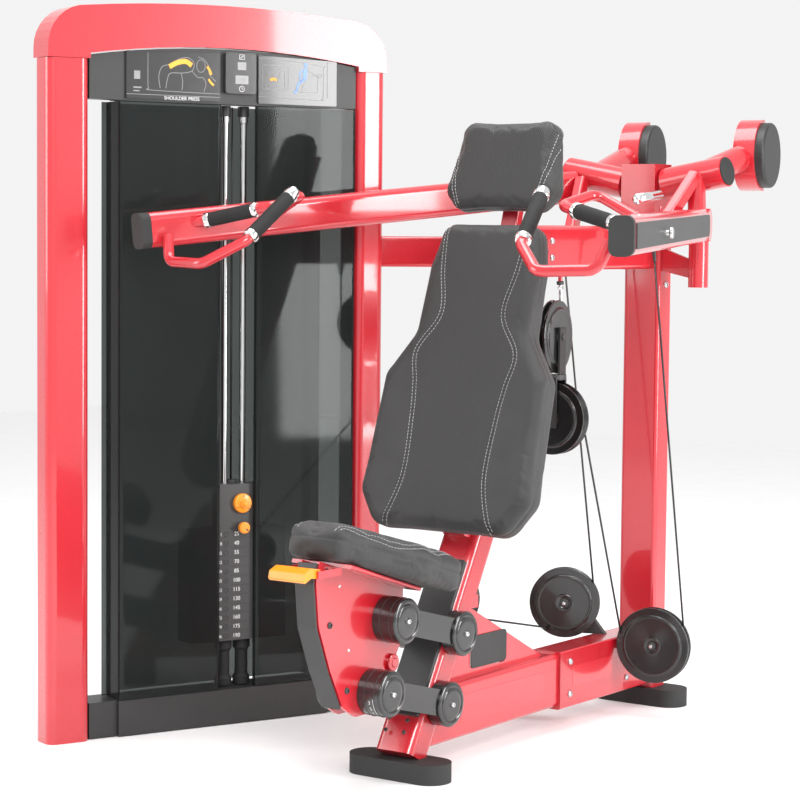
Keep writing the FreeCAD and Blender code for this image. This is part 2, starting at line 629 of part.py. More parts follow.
PD0, PR0, PWd, PB = D["pulleyDia"], D["pulleyRoot"], D["pulleyW"], D["pulleyBore"]
node(pulley("pulley_rear", PD0, PR0, PWd, PB, frame_at(REAR_P, REAR_A, (0, 0, 1))))
node(pulley("pulley_far", PD0 - 12, PR0 - 12, PWd, PB, frame_at(FAR_P, FAR_A, (0, 0, 1))))
node(pulley("pulley_seat", 104, 78, 28, 16.8, frame_at(SEAT_P, SEAT_A, (0, 0, 1))))
UC, LC = (0.0, 711.0, 1084.0), (0.0, 711.0, 862.0)
node(pulley("pulley_float_upper", 200, 166, 30, PB, frame_at(UC, (0.986, 0.163, 0), (0, 0, 1))))
node(pulley("pulley_float_lower", 200, 170, 40, PB, frame_at(LC, (0.06, -0.998, 0), (0, 0, 1))))
fl = []
ru = FreeCAD.Rotation(V(0, 0, 1), 9.4)
rl = FreeCAD.Rotation(V(0, 0, 1), 3.4)
for k in (-25, 19):
    b = box("float_cheek_u%d" % (k + 25), (6, 44, 144), (0, 0, 0))
    b.Placement = FreeCAD.Placement(V(0, 711, 0), ru).multiply(FreeCAD.Placement(V(k, -22, 966), FreeCAD.Rotation()))
    fl.append(b)
for k in (-30, 24):
    b = box("float_cheek_l%d" % (k + 30), (44, 6, 138), (0, 0, 0))
    b.Placement = FreeCAD.Placement(V(0, 711, 0), rl).multiply(FreeCAD.Placement(V(-22, k, 836), FreeCAD.Rotation()))
    fl.append(b)
fl.append(cyl("float_swivel", 66, 12, frame_at((0, 711, 969), (0, 0, 1))))
fl.append(cyl_between("float_pin_u", "dims.pinDia", along(UC, (0.986, 0.163, 0), -28), along(UC, (0.986, 0.163, 0), 28)))
fl.append(cyl_between("float_pin_l", "dims.pinDia", along(LC, (0.06, -0.998, 0), -34), along(LC, (0.06, -0.998, 0), 34)))
node(fuse("floating_block", fl))

# ------------------------------------------------------------------ press arms


def arm(sgn, nm):
    tip = V(sgn * D["armTipX"], D["armTipY"], D["armTipZ"])
    end = V(sgn * D[nm + "ArmX"], D[nm + "ArmY"], D[nm + "ArmZ"])
    axis = (end - tip).normalize()
    start = tip + axis * 14
    side = V(axis.y, -axis.x, 0).normalize()
    fr = [tube("arm_tube_" + nm, "dims.armW", "dims.armH", "dims.armR", "", (end - start).Length,
               frame_at(tuple(start), axis, side))]
    hx0, hx1 = hub_point(sgn, D["hubIn"]), hub_point(sgn, D["hubOut"])
    fr.append(cyl("arm_hub_" + nm, "dims.hubDia", span(hx0, hx1), frame_at(hx0, hub_dir(sgn), (0, 1, 0))))
    if nm == "left":
        fr.append(cyl("arm_end_round_" + nm, "dims.armH", "dims.armW",
                      frame_at(tuple(end - V(axis.y, -axis.x, 0) * 29), side, (0, 0, 1))))
        fr.append(tube("arm_upright_" + nm, "48", "34", "10", "", span((214, 1118, 1370), (176, 1172, 1536)),
                       frame_at((214, 1118, 1370), (-38, 54, 166))))
    rear0 = V(*hub_point(sgn, 168))
    strap = V(sgn * 192, 1500, 1598)
    rd = V(sgn * 190, 1408, 1586) - rear0
    fr.append(cyl("arm_rear_tube_" + nm, "dims.rearTubeDia", rd.Length, frame_at(tuple(rear0), rd, (1, 0, 0))))
    wn = V(math.cos(math.radians(11)), math.sin(math.radians(11)), 0)
    wd, wt = D["weightDia"], D["weightT"]
    ring = cyl("arm_strap_o_" + nm, wd + 18, 62, frame_at(tuple(strap - wn * 36), wn, (0, 0, 1)))
    rin = cyl("arm_strap_i_" + nm, wd + 0.6, 200, frame_at(tuple(strap - wn * 100), wn, (0, 0, 1)))
    rback = box("arm_strap_b_" + nm, (300, 200, 300), (0, 0, 0))
    rback.Placement = FreeCAD.Placement(strap, FreeCAD.Rotation(V(0, 0, 1), 11)).multiply(
        FreeCAD.Placement(V(-150, 12, -150), FreeCAD.Rotation()))
    fr.append(cut("arm_strap_c_" + nm, cut("arm_strap_d_" + nm, ring, rin), rback))
    fr.append(box("arm_lug_" + nm, (16, 82, 44), (sgn * 146 - 8, 968, 1352 if nm == "left" else 1330)))
    fr.append(tube("arm_lug_arm_" + nm, "30", "40", "6", "", 200,
                   frame_at((sgn * 146, 1026, 1380 if nm == "left" else 1366), (sgn * 0.2, 0.62, 0.76))))
    raw = fuse("arm_raw_" + nm, fr)
    bore = cyl("arm_bore_" + nm, "dims.hubBore", 400, frame_at(tuple(V(*hx0) - V(*hub_dir(sgn)) * 60),
                                                              hub_dir(sgn), (0, 1, 0)))
    pocket = cyl("arm_weight_room_" + nm, wd + 0.6, 200, frame_at(tuple(strap - wn * 100), wn, (0, 0, 1)))
    clear = fuse("arm_clear_" + nm, [bore, pocket])
    node(cut("arm_%s_frame" % nm, raw, clear))
    # rubber nose, counterweight, hub plug
    capb = tube("arm_%s_end_cap" % nm, "dims.armW", "dims.armH", "dims.armR", "", 28,
                frame_at(tuple(tip - axis * 14), axis, side))
    node(capb)
    node(turned("arm_%s_counterweight" % nm, [(0, 0, 0), (wd / 2, 0, 6), (wd / 2, wt + 22, 8), (0, wt + 22, 0)],
                frame_at(tuple(strap - wn * 40), wn, (0, 0, 1))))
    ho = hub_point(sgn, D["hubOut"])
    node(turned("arm_%s_hub_plug" % nm, [(0, 0, 0), (D["hubDia"] / 2 - 4, 0, 0), (D["hubDia"] / 2 - 4, 5, 2), (0, 5, 0)],
                frame_at(tuple(V(*ho) + V(*hub_dir(sgn)) * 0.05), hub_dir(sgn), (0, 1, 0))))
    # handles: lower bent tube with the upright grip, upper loop with the cross grip
    m = lambda x, y, z: (sgn * x, y, z)
    h1 = bent_rod("handle_low_" + nm, D["handleDia"] - 2, [m(662, -128, 1350), m(640, -150, 1284), m(500, -186, 1280),
                  m(413, -114, 1340), m(377, 38, 1468)], 34)
    h2 = bent_rod("handle_top_" + nm, D["handleDia"] - 4, [m(664, -46, 1380), m(432, 30, 1432), m(448, 165, 1462),
                  m(590, 178, 1388)], 30)
    hraw = fuse("handle_raw_" + nm, [h1, h2])
    solid = tube("handle_trim_" + nm, "dims.armW", "dims.armH", "dims.armR", "", 900, frame_at(tuple(start), axis, side))
    node(cut("arm_%s_handle" % nm, hraw, solid))
    gr = []
    for tag, p, q in (("b", m(413, -114, 1340), m(377, 38, 1468)), ("a", m(664, -46, 1380), m(432, 30, 1432))):
        d = (V(*q) - V(*p)).normalize()
        a = V(*p) + d * (26 if tag == "b" else 62)
        ln = 150 if tag == "b" else 122
        g = turned("grip_%s_%s" % (tag, nm), [(D["handleDia"] / 2 + 0.3, 0, 0), (D["gripDia"] / 2, 0, 2),
                   (D["gripDia"] / 2, ln, 2), (D["handleDia"] / 2 + 0.3, ln, 0)], frame_at(tuple(a), d, (0, 0, 1)))
        gr.append(g)
    node(group("arm_%s_grips" % nm, gr))
    # inset panel on the outboard side of the arm tube
    out = side * (1 if side.x * sgn > 0 else -1)
    length = (end - start).Length
    up = axis.cross(out)
    if up.z < 0:
        up = up * -1
    c0 = start + out * (D["armW"] / 2 + 0.05)
    run = length - (30 if nm == "left" else 150)
    pts = [(6, -30, 4), (run, -30, 20), (run, 30, 20), (6, 30, 4)]
    pf = frame_at(tuple(c0), out, axis)
    flip = 1 if pf.Rotation.multVec(V(0, 1, 0)).dot(up) > 0 else -1
    node(slab("arm_%s_panel" % nm, [(x, y * flip, r) for x, y, r in pts][::flip], 3, pf))
    return axis, out, up, start, length


left_arm = arm(1, "left")
right_arm = arm(-1, "right")
axis, out, up, start, length = left_arm
kp = start + axis * (length * 0.33) + out * (D["armW"] / 2 + 3.2) + up * (-2)
node(turned("arm_left_knob", [(0, 0, 0), (7, 0, 0), (7, 10, 1), (14, 12, 2), (14, 20, 3), (0, 20, 0)],
            frame_at(tuple(kp), out, (0, 0, 1))))

# ------------------------------------------------------------------ seat linkage


def link_pair(label, front, rear):
    """Two link arms with drums at the front, bored for the shafts."""
    (fy, fz), (ry, rz) = front, rear
    ln = math.hypot(ry - fy, rz - fz)
    ang = math.degrees(math.atan2(rz - fz, ry - fy))
    parts, tools = [], []
    for sgn, nm in ((1, "n"), (-1, "f")):
        x0, x1 = (D["linkIn"], D["linkIn"] + D["linkT"]) if sgn > 0 else (-D["linkIn"] - D["linkT"], -D["linkIn"])
        parts.append(x_rod("%s_r%s" % (label, nm), "2 * dims.linkEnd", ry, rz, x0, x1))
        xf0, xf1 = (31, x1) if sgn > 0 else (x0, -31)
        parts.append(x_rod("%s_f%s" % (label, nm), "2 * dims.linkEnd", fy, fz, xf0, xf1))
        w = box("%s_w%s" % (label, nm), (x1 - x0 - 6, ln, 2 * D["linkWaist"]), (0, 0, 0))
        w.Placement = FreeCAD.Placement(V(x0 + 3, fy, fz), FreeCAD.Rotation(V(1, 0, 0), ang)).multiply(
            FreeCAD.Placement(V(0, 0, -D["linkWaist"]), FreeCAD.Rotation()))
        parts.append(w)
    for i, (y, z) in enumerate((front, rear)):
        tools.append(x_rod("%s_bore%d" % (label, i), "dims.shaftBore", y, z, -92.6, 92.6))
    return node(cut(label, fuse(label + "_raw", parts), fuse(label + "_bores", tools)))


link_pair("links_upper", PIV["upper_front"], PIV["upper_rear"])
link_pair("links_lower", PIV["lower_front"], PIV["lower_rear"])
YZ = FreeCAD.Rotation(V(1, 1, 1), 120)
side_pts = [(-378, 588, 3), (-392, 540, 40), (-380, 430, 80), (-335, 320, 80), (-283, 222, 20), (-235, 192, 30),
            (-135, 192, 30), (-100, 262, 40), (-48, 345, 40), (-40, 400, 40), (-36, 484, 3)]
ca = []
for x in (-30, 22):
    ca.append(slab("carriage_side_%d" % (x + 30), side_pts, "dims.carriageT", FreeCAD.Placement(V(x, 0, 0), YZ)))
for key in ("upper_front", "lower_front"):
    y, z = PIV[key]
    ca.append(x_rod("carriage_shaft_" + key, "dims.shaftDia", y, z, -92, 92))
ca.append(x_rod("carriage_boss", 44, -85, 305, -38, 38))
top = tube("carriage_top", "180", "10", "4", "", 300,
           frame_at(pad_point((SEAT[0], 0), 0, 0, 0), (0, 1, 0)))
sa = math.radians(SEAT[1])
seat_n = V(0, math.sin(sa), math.cos(sa))
seat_b = V(0, math.cos(sa), -math.sin(sa))
o = V(*SEAT[0]) + seat_b * 60 - seat_n * (D["seatT"] + 5.2)
top.Placement = frame_at(tuple(o), seat_b)
ca.append(top)
LEV = (-411.0, 561.0)
ca.append(x_rod("lever_pin", 8, LEV[0], LEV[1], -58, 58))
for x in (-58, 54):
    ca.append(box("lever_bracket_%d" % (x + 58), (4, 92, 18), (x, -420, 553)))
node(fuse("seat_carriage", ca))
strip = [(-379.5, 583, 0), (-394, 540, 40), (-382, 428, 80), (-337, 318, 80), (-286, 222, 0), (-292, 219, 0),
         (-343, 316, 80), (-388, 427, 80), (-400, 540, 40), (-386, 583, 0)]
node(slab("seat_front_strip", strip, 54, FreeCAD.Placement(V(-27, -1.2, 0), YZ)))
lev = [(-404, 552, 2), (-404, 574, 3), (-440, 580, 12), (-466, 570, 6), (-470, 552, 3), (-464, 546, 3),
       (-440, 556, 12)]
lever = fuse("seat_lever_raw", [slab("seat_lever_blade", lev, 104, FreeCAD.Placement(V(-52, 0, 0), YZ)),
                                x_rod("seat_lever_eye", 18, LEV[0], LEV[1], -52, 52)])
node(cut("seat_lever", lever, x_rod("seat_lever_bore", 8.4, LEV[0], LEV[1], -60, 60)))


def cushion(label, pts, thick, place, soft):
    b = slab(label, pts, thick, place)
    doc.recompute()
    pad = b.Tip
    names = []
    for i, f in enumerate(pad.Shape.Faces, start=1):
        n = f.normalAt(0, 0)
        if abs(n.z) > 0.99:
            names.append("Face%d" % i)
    fil = b.newObject("PartDesign::Fillet", label + "_soft_edge")
    fil.Base = (pad, names)
    fil.Radius = soft
    b.Tip = fil
    return b


def both(half):
    """Outline mirrored about x = 0 from its right-hand half, listed bottom to top."""
    return [(x, y, r) for x, y, r in half] + [(-x, y, r) for x, y, r in reversed(half)]


back_half = [(212, 0, 62), (274, 92, 60), (262, 418, 45), (186, 535, 60), (179, 720, 90), (150, 842, 46)]
head_half = [(138, 0, 40), (182, 52, 44), (148, 252, 42)]
node(cushion("back_pad", both(back_half), "dims.padT", pad_face(BACK, -D["padT"]), 20))
node(cushion("head_pad", both(head_half), "dims.headPadT", pad_face(HEAD, -D["headPadT"]), 18))
seat_place = FreeCAD.Placement(V(*SEAT[0]) - seat_n * D["seatT"], FreeCAD.Rotation(V(1, 0, 0), -SEAT[1]))
seat_half = [(78, 0, 26), (172, 270, 110), (178, 432, 34)]
node(cushion("seat_pad", both(seat_half), "dims.seatT", seat_place, 20))
bp = slab("back_plate", both([(190, 30, 30), (236, 110, 40), (228, 400, 40), (150, 540, 40), (140, 800, 30)]), 11.8,
          pad_face(BACK, -D["padT"] - 12))
hpl = slab("head_plate_pad", both([(110, 24, 24), (128, 60, 30), (112, 226, 24)]), 9.8,
           pad_face(HEAD, -D["headPadT"] - 10))
node(group("pad_backings", [bp, hpl]))

# ------------------------------------------------------------------ cables
CD6 = "dims.cableDia"
rim = PD0 / 2 + 4
lugL, lugR = (146.0, 985.0, 1348.0), (-146.0, 985.0, 1326.0)
E1 = (0.982, 0.187, 0.0)
E2 = (0.906, 0.423, 0.0)
node(cyl_between("cable_left_drop", CD6, lugL, along(REAR_P, E1, rim)))
EL, EU = (0.998, 0.06, 0.0), (-0.163, 0.986, 0.0)
block_runs = [cyl_between("cable_left_return", CD6, along(REAR_P, E1, -rim), along(LC, EL, 104)),
              cyl_between("cable_seat_return", CD6, along(LC, EL, -104), (-50, 327.7, 431.7))]
node(cyl_between("cable_base", CD6, (-50, 358.6, 340.2), (-143.5, 927.2, 222.5)))
node(cyl_between("cable_right_rise", CD6, along(FAR_P, E2, rim - 6), lugR))
block_runs.append(cyl_between("cable_loop_a", CD6, (0, 621, 1248), along(UC, EU, -104)))
block_runs.append(cyl_between("cable_loop_b", CD6, along(UC, EU, 104), (0, 737, 1228)))
node(group("cable_block_runs", block_runs))
node(cyl_between("cable_stack_lift", CD6, tower_point(PC, RV + 12, top_z + PH + 133.5), tower_point(PC, RV + 12, HL - 8)))

doc.recompute()
bad = [ob.Name for ob in doc.Objects if "Invalid" in ob.State or "Error" in str(ob.State)]
if bad:
    raise RuntimeError("features that failed: " + ", ".join(bad))
for ob in NODES:
    shp = ob.Shape
    if shp.isNull() or not shp.isValid() or not shp.Solids:
        raise RuntimeError("bad shape: " + ob.Label)
    shp.exportStep(os.path.join("parts", ob.Label + ".step"))
    print("VOL", ob.Label, round(shp.Volume / 1e6, 3))
    print(ob.Label, len(shp.Solids), [round(v) for v in (shp.BoundBox.XMin, shp.BoundBox.XMax, shp.BoundBox.YMin,
          shp.BoundBox.YMax, shp.BoundBox.ZMin, shp.BoundBox.ZMax)])
print("nodes", len(NODES))
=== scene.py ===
import json
import math

import bmesh
import bpy
from mathutils import Matrix, Vector
from mathutils.bvhtree import BVHTree


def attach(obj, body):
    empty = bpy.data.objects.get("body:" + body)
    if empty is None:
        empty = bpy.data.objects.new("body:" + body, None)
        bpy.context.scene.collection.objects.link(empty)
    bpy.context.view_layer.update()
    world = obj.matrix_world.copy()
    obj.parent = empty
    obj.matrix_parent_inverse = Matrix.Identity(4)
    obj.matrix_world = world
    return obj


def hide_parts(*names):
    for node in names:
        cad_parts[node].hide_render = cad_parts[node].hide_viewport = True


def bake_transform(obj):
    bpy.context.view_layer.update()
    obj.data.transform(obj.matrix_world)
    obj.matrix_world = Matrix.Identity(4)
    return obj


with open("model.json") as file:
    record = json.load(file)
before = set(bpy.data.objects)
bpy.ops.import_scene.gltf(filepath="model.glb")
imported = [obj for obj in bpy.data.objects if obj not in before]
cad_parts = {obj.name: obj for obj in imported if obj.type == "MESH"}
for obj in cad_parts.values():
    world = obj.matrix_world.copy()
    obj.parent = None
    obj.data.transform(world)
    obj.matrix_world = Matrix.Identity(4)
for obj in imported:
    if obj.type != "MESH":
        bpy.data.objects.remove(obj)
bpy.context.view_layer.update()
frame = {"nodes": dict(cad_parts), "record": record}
V = Vector
TOWER = Matrix.Translation((-0.8905, -0.1751, 0)) @ Matrix.Rotation(math.radians(67.6), 4, "Z")


def tp(u, v, z):
    """Tower point: u across the opening, v to the back, z up, in metres."""
    return TOWER @ V((u, v, z))


# ---------------------------------------------------------------- materials
MATS = {}


def new_mat(name):
    m = bpy.data.materials.new(name)
    m.use_nodes = True
    MATS[name] = m
    return m, m.node_tree, m.node_tree.nodes["Principled BSDF"]


def nd(nt, kind, link=None, **vals):
    """New node with its inputs set; link maps an input name to an output socket."""
    n = nt.nodes.new(kind)
    for k, v in vals.items():
        key = int(k[1:]) if k[0] == "i" and k[1:].isdigit() else k.replace("_", " ")
        n.inputs[key].default_value = v
    for k, s in (link or {}).items():
        nt.links.new(s, n.inputs[k])
    return n


def ramp(nt, fac, stops):
    r = nt.nodes.new("ShaderNodeValToRGB")
    nt.links.new(fac, r.inputs[0])
    el = r.color_ramp.elements
    while len(el) < len(stops):
        el.new(0.5)
    for e, (p, c) in zip(el, stops):
        e.position = p
        e.color = (*c, 1) if len(c) == 3 else c
    return r.outputs[0]


def grey(v):
    return (v, v, v)


def surface(name, dark, light, rough=(0.3, 0.4), metal=0.0, coat=0.0, grain=180.0, bump=0.04, cloud=6.0,
            edge_highlight=0.0, spec=0.5, sheen=0.0, coat_rough=0.06):
    """Painted, moulded or cast finish: clouded colour, grained bump, roughness variation and a painted highlight on
    convex edges.
    """
    m, nt, b = new_mat(name)
    tc = nt.nodes.new("ShaderNodeTexCoord").outputs["Object"]
    big = nd(nt, "ShaderNodeTexNoise", {"Vector": tc}, Scale=cloud, Detail=4.0, Roughness=0.6)
    fine = nd(nt, "ShaderNodeTexNoise", {"Vector": tc}, Scale=grain, Detail=3.0, Roughness=0.55)
    col = ramp(nt, big.outputs["Fac"], [(0.3, dark), (0.7, light)])
    # painted highlight: convex edges, found by pointiness, are mixed towards a brighter copy of the surface colour
    if edge_highlight:
        geo = nt.nodes.new("ShaderNodeNewGeometry")
        edge = ramp(nt, geo.outputs["Pointiness"], [(0.5, grey(0)), (0.56, grey(edge_highlight))])
        mx = nt.nodes.new("ShaderNodeMix")
        mx.data_type = "RGBA"
        nt.links.new(edge, mx.inputs[0])
        nt.links.new(col, mx.inputs[6])
        mx.inputs[7].default_value = (*[min(1, c * 1.6 + 0.04) for c in light], 1)
        col = mx.outputs[2]
    nt.links.new(col, b.inputs["Base Color"])
    r = ramp(nt, fine.outputs["Fac"], [(0.3, grey(rough[0])), (0.7, grey(rough[1]))])
    nt.links.new(r, b.inputs["Roughness"])
    bp = nd(nt, "ShaderNodeBump", {"Height": fine.outputs["Fac"]}, Strength=bump, Distance=0.002)
    nt.links.new(bp.outputs[0], b.inputs["Normal"])
    b.inputs["Metallic"].default_value = metal
    b.inputs["Coat Weight"].default_value = coat
    b.inputs["Coat Roughness"].default_value = coat_rough
    b.inputs["Specular IOR Level"].default_value = spec
    b.inputs["Sheen Weight"].default_value = sheen
    return m


def twill(name, tilt, dark, light, pitch=0.0042, sheen=0.15):
    """Diagonal ribbed upholstery: bump, and rib colour with painted shade in the rib valleys, from two wave textures
    in the pad's own plane.
    """
    m, nt, b = new_mat(name)
    tc = nt.nodes.new("ShaderNodeTexCoord").outputs["Object"]
    mp = nd(nt, "ShaderNodeMapping", {"Vector": tc})
    mp.inputs["Rotation"].default_value = (math.radians(tilt), 0, 0)
    m2 = nd(nt, "ShaderNodeMapping", {"Vector": mp.outputs[0]})
    m2.inputs["Rotation"].default_value = (0, math.radians(42), 0)
    w = nd(nt, "ShaderNodeTexWave", {"Vector": m2.outputs[0]}, Scale=1.0 / pitch / 3.14, Distortion=0.9,
           Detail=2.0, Detail_Scale=160.0)
    w.bands_direction = "X"
    w2 = nd(nt, "ShaderNodeTexWave", {"Vector": m2.outputs[0]}, Scale=2.4 / pitch / 3.14, Distortion=0.6)
    w2.bands_direction = "Z"
    big = nd(nt, "ShaderNodeTexNoise", {"Vector": tc}, Scale=7.0, Detail=3.0)
    mul = nd(nt, "ShaderNodeMath", {0: w.outputs["Fac"], 1: w2.outputs["Fac"]})
    mul.operation = "MULTIPLY"
    mad = nd(nt, "ShaderNodeMath", {0: w.outputs["Fac"], 1: mul.outputs[0]})
    mad.operation = "ADD"
    half = nd(nt, "ShaderNodeMath", {0: mad.outputs[0]}, i1=0.5)
    half.operation = "MULTIPLY"
    # painted shade: the colour is darkest where the rib height is low, in the valleys between ribs
    col = ramp(nt, half.outputs[0], [(0.15, dark), (0.8, light)])
    mx = nt.nodes.new("ShaderNodeMix")
    mx.data_type = "RGBA"
    mx.blend_type = "MULTIPLY"
    mx.inputs[0].default_value = 0.5
    nt.links.new(col, mx.inputs[6])
    nt.links.new(ramp(nt, big.outputs["Fac"], [(0.3, grey(0.7)), (0.7, grey(1.0))]), mx.inputs[7])
    nt.links.new(mx.outputs[2], b.inputs["Base Color"])
    nt.links.new(ramp(nt, half.outputs[0], [(0.1, grey(0.62)), (0.9, grey(0.44))]), b.inputs["Roughness"])
    bp = nd(nt, "ShaderNodeBump", {"Height": half.outputs[0]}, Strength=0.5, Distance=0.0009)
    nt.links.new(bp.outputs[0], b.inputs["Normal"])
    b.inputs["Sheen Weight"].default_value = sheen
    return m


def smoked(name, tint, gloss=0.05):
    """Smoked acrylic: dark see-through sheet with a clear surface reflection."""
    m, nt, b = new_mat(name)
    out = [n for n in nt.nodes if n.type == "OUTPUT_MATERIAL"][0]
    tc = nt.nodes.new("ShaderNodeTexCoord").outputs["Object"]
    cloud = nd(nt, "ShaderNodeTexNoise", {"Vector": tc}, Scale=2.5, Detail=2.0)
    tr = nt.nodes.new("ShaderNodeBsdfTransparent")
    nt.links.new(ramp(nt, cloud.outputs["Fac"], [(0.3, [c * 0.92 for c in tint]), (0.7, tint)]),
                 tr.inputs[0])
    nt.nodes.remove(b)
    gl = nd(nt, "ShaderNodeBsdfPrincipled", Roughness=gloss)
    gl.inputs["Base Color"].default_value = (0.045, 0.05, 0.05, 1)
    fr = nd(nt, "ShaderNodeFresnel", IOR=1.45)
    ad = nd(nt, "ShaderNodeMath", {0: fr.outputs[0]}, i1=0.22)
    ad.operation = "ADD"
    ad.use_clamp = True
    mix = nt.nodes.new("ShaderNodeMixShader")
    nt.links.new(ad.outputs[0], mix.inputs[0])
    nt.links.new(tr.outputs[0], mix.inputs[1])
    nt.links.new(gl.outputs[0], mix.inputs[2])
    nt.links.new(mix.outputs[0], out.inputs["Surface"])
    return m


# RED, PLAST, GLOSS, RUB, STEEL and CAST get a painted highlight on their convex edges
RED = surface("red_enamel", (0.40, 0.006, 0.014), (0.47, 0.009, 0.019), (0.22, 0.3), coat=0.9, grain=900,
              bump=0.02,
              edge_highlight=0.25)
PLAST = surface("black_moulding", grey(0.010), grey(0.017), (0.36, 0.5), grain=1400, bump=0.09, edge_highlight=0.25)
GLOSS = surface("gloss_black", grey(0.006), grey(0.010), (0.16, 0.26), coat=0.4, grain=700, bump=0.02,
                edge_highlight=0.3)
RUB = surface("rubber", grey(0.013), grey(0.021), (0.62, 0.8), grain=1600, bump=0.25, edge_highlight=0.2, spec=0.35)
GRIP = surface("grip_foam", grey(0.010), grey(0.019), (0.6, 0.75), grain=2400, bump=0.35, spec=0.3)
CHROME = surface("chrome", grey(0.72), grey(0.82), (0.05, 0.11), metal=1.0, grain=90, bump=0.01, cloud=20)
STEEL = surface("powder_black", grey(0.018), grey(0.028), (0.42, 0.55), grain=1100, bump=0.15, edge_highlight=0.3)
CAST = surface("cast_plate", grey(0.018), grey(0.032), (0.5, 0.68), grain=500, bump=0.25, edge_highlight=0.3)
ORANGE = surface("orange_plastic", (0.78, 0.22, 0.008), (0.88, 0.29, 0.012), (0.28, 0.38), coat=0.3,
                 grain=800, bump=0.03)
ZINC = surface("zinc_screw", grey(0.5), grey(0.66), (0.2, 0.34), metal=1.0, grain=300, bump=0.04, cloud=60)
ROPE = surface("cable_jacket", grey(0.008), grey(0.014), (0.3, 0.42), grain=900, bump=0.04)
INK = surface("white_print", grey(0.62), grey(0.74), (0.5, 0.6), grain=500, bump=0.01)
AMBER = surface("amber_print", (0.8, 0.33, 0.03), (0.9, 0.42, 0.05), (0.5, 0.6), grain=400, bump=0.01)
BLUEP = surface("blue_print", (0.16, 0.26, 0.5), (0.22, 0.34, 0.6), (0.5, 0.6), grain=400, bump=0.01)
PALE = surface("grey_print", grey(0.2), grey(0.28), (0.5, 0.6), grain=400, bump=0.01)
THREAD = surface("thread", grey(0.34), grey(0.46), (0.7, 0.8), grain=2500, bump=0.3)
LEATHER = surface("side_vinyl", grey(0.012), grey(0.020), (0.42, 0.55), grain=1300, bump=0.35, sheen=0.1,
                  cloud=12)
TW_BACK = twill("twill_back", -16.9, grey(0.008), grey(0.026))
# the seat copy has the back twill's colours made lighter: painted light on the upward-facing seat
TW_SEAT_LIT = twill("twill_seat_lit", 73.0, grey(0.014), grey(0.045))
SMOKE = smoked("smoked_front", (0.36, 0.385, 0.375))
SMOKE2 = smoked("smoked_rear", (0.40, 0.42, 0.41), 0.2)
BY_SLOT = {"red_paint": RED, "smoked": SMOKE, "black_plastic": PLAST, "gloss_black": GLOSS, "rubber": RUB,
           "chrome": CHROME, "steel_black": STEEL, "cast_plate": CAST, "upholstery": TW_BACK,
           "orange": ORANGE,
           "grey_metal": ZINC, "cable": ROPE}
SLOT_OF = {s["node"]: s["material_slot"] for s in frame["record"]["subparts"]}
for name, ob in frame["nodes"].items():
    mat = BY_SLOT[SLOT_OF[name]]
    if name == "rear_shroud":
        mat = SMOKE2
    if name.endswith("grips"):
        mat = GRIP
    if name.endswith("counterweight") or name == "seat_front_strip":
        mat = PLAST
    ob.data.materials.clear()
    ob.data.materials.append(mat)


# ---------------------------------------------------------------- mesh helpers
def mesh_obj(name, verts, faces, mat, body=None, smooth=True):
    me = bpy.data.meshes.new(name)
    me.from_pydata([tuple(v) for v in verts], [], faces)
    me.validate()
    ob = bpy.data.objects.new(name, me)
    bpy.context.scene.collection.objects.link(ob)
    for mt in (mat if isinstance(mat, (list, tuple)) else [mat]):
        me.materials.append(mt)
    if smooth:
        me.shade_smooth()
    if body:
        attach(ob, body)
    return ob


def basis(z, hint=(0, 0, 1)):
    z = V(z).normalized()
    x = V(hint) - z * V(hint).dot(z)
    if x.length < 1e-4:
        x = V((1, 0, 0)) - z * z.x
    x.normalize()
    return x, z.cross(x), z


def lathe(name, prof, pos, axis, mat, body, n=48, hint=(0, 0, 1)):
    """Turned piece from (radius, height) points about axis through pos, with sharp steps kept."""
    x, y, z = basis(axis, hint)
    vs, fs = [], []
    for i in range(n):
        a = 2 * math.pi * i / n
        d = x * math.cos(a) + y * math.sin(a)
        vs += [V(pos) + d * r + z * h for r, h in prof]
    k = len(prof)
    for i in range(n):
        j = (i + 1) % n
        fs += [(i * k + q, j * k + q, j * k + q + 1, i * k + q + 1) for q in range(k - 1)]
    ob = mesh_obj(name, vs, fs, mat, body)
    bm = bmesh.new()
    bm.from_mesh(ob.data)
    bmesh.ops.remove_doubles(bm, verts=bm.verts, dist=1e-6)
    bmesh.ops.recalc_face_normals(bm, faces=bm.faces)
    bm.to_mesh(ob.data)
    bm.free()
    ob.data.shade_smooth()
    crisp(ob, 0.0006)
    return ob


LATER = []


def crisp(ob, width=0.0012, seg=2, angle=32):
    """Marks a piece for small rounded edges; they are added once every piece is in place."""
    LATER.append((ob, width, seg, angle))
    return ob


def round_edges():
    for ob, width, seg, angle in LATER:
        b = ob.modifiers.new("edge", "BEVEL")
        b.width, b.segments, b.limit_method, b.angle_limit = width, seg, "ANGLE", math.radians(angle)
        w = ob.modifiers.new("shade", "WEIGHTED_NORMAL")
        w.keep_sharp = False


def tube(name, pts, r, mat, body=None, n=20, caps=True):
    """Round bar along points (already smooth)."""
    pts = [V(p) for p in pts]
    vs, fs = [], []
    x = None
    for i, p in enumerate(pts):
        t = (pts[min(i + 1, len(pts) - 1)] - pts[max(i - 1, 0)]).normalized()
        x, y, _ = basis(t, x or (0.31, 0.17, 0.93))
        rad = r[i] if isinstance(r, (list, tuple)) else r
        vs += [p + x * rad * math.cos(2 * math.pi * k / n) + y * rad * math.sin(2 * math.pi * k / n) for k in range(n)]
    for i in range(len(pts) - 1):
        fs += [(i * n + k, i * n + (k + 1) % n, (i + 1) * n + (k + 1) % n,
                (i + 1) * n + k) for k in range(n)]
    if caps:
        fs += [tuple(range(n))[::-1], tuple((len(pts) - 1) * n + k for k in range(n))]
    return mesh_obj(name, vs, fs, mat, body)


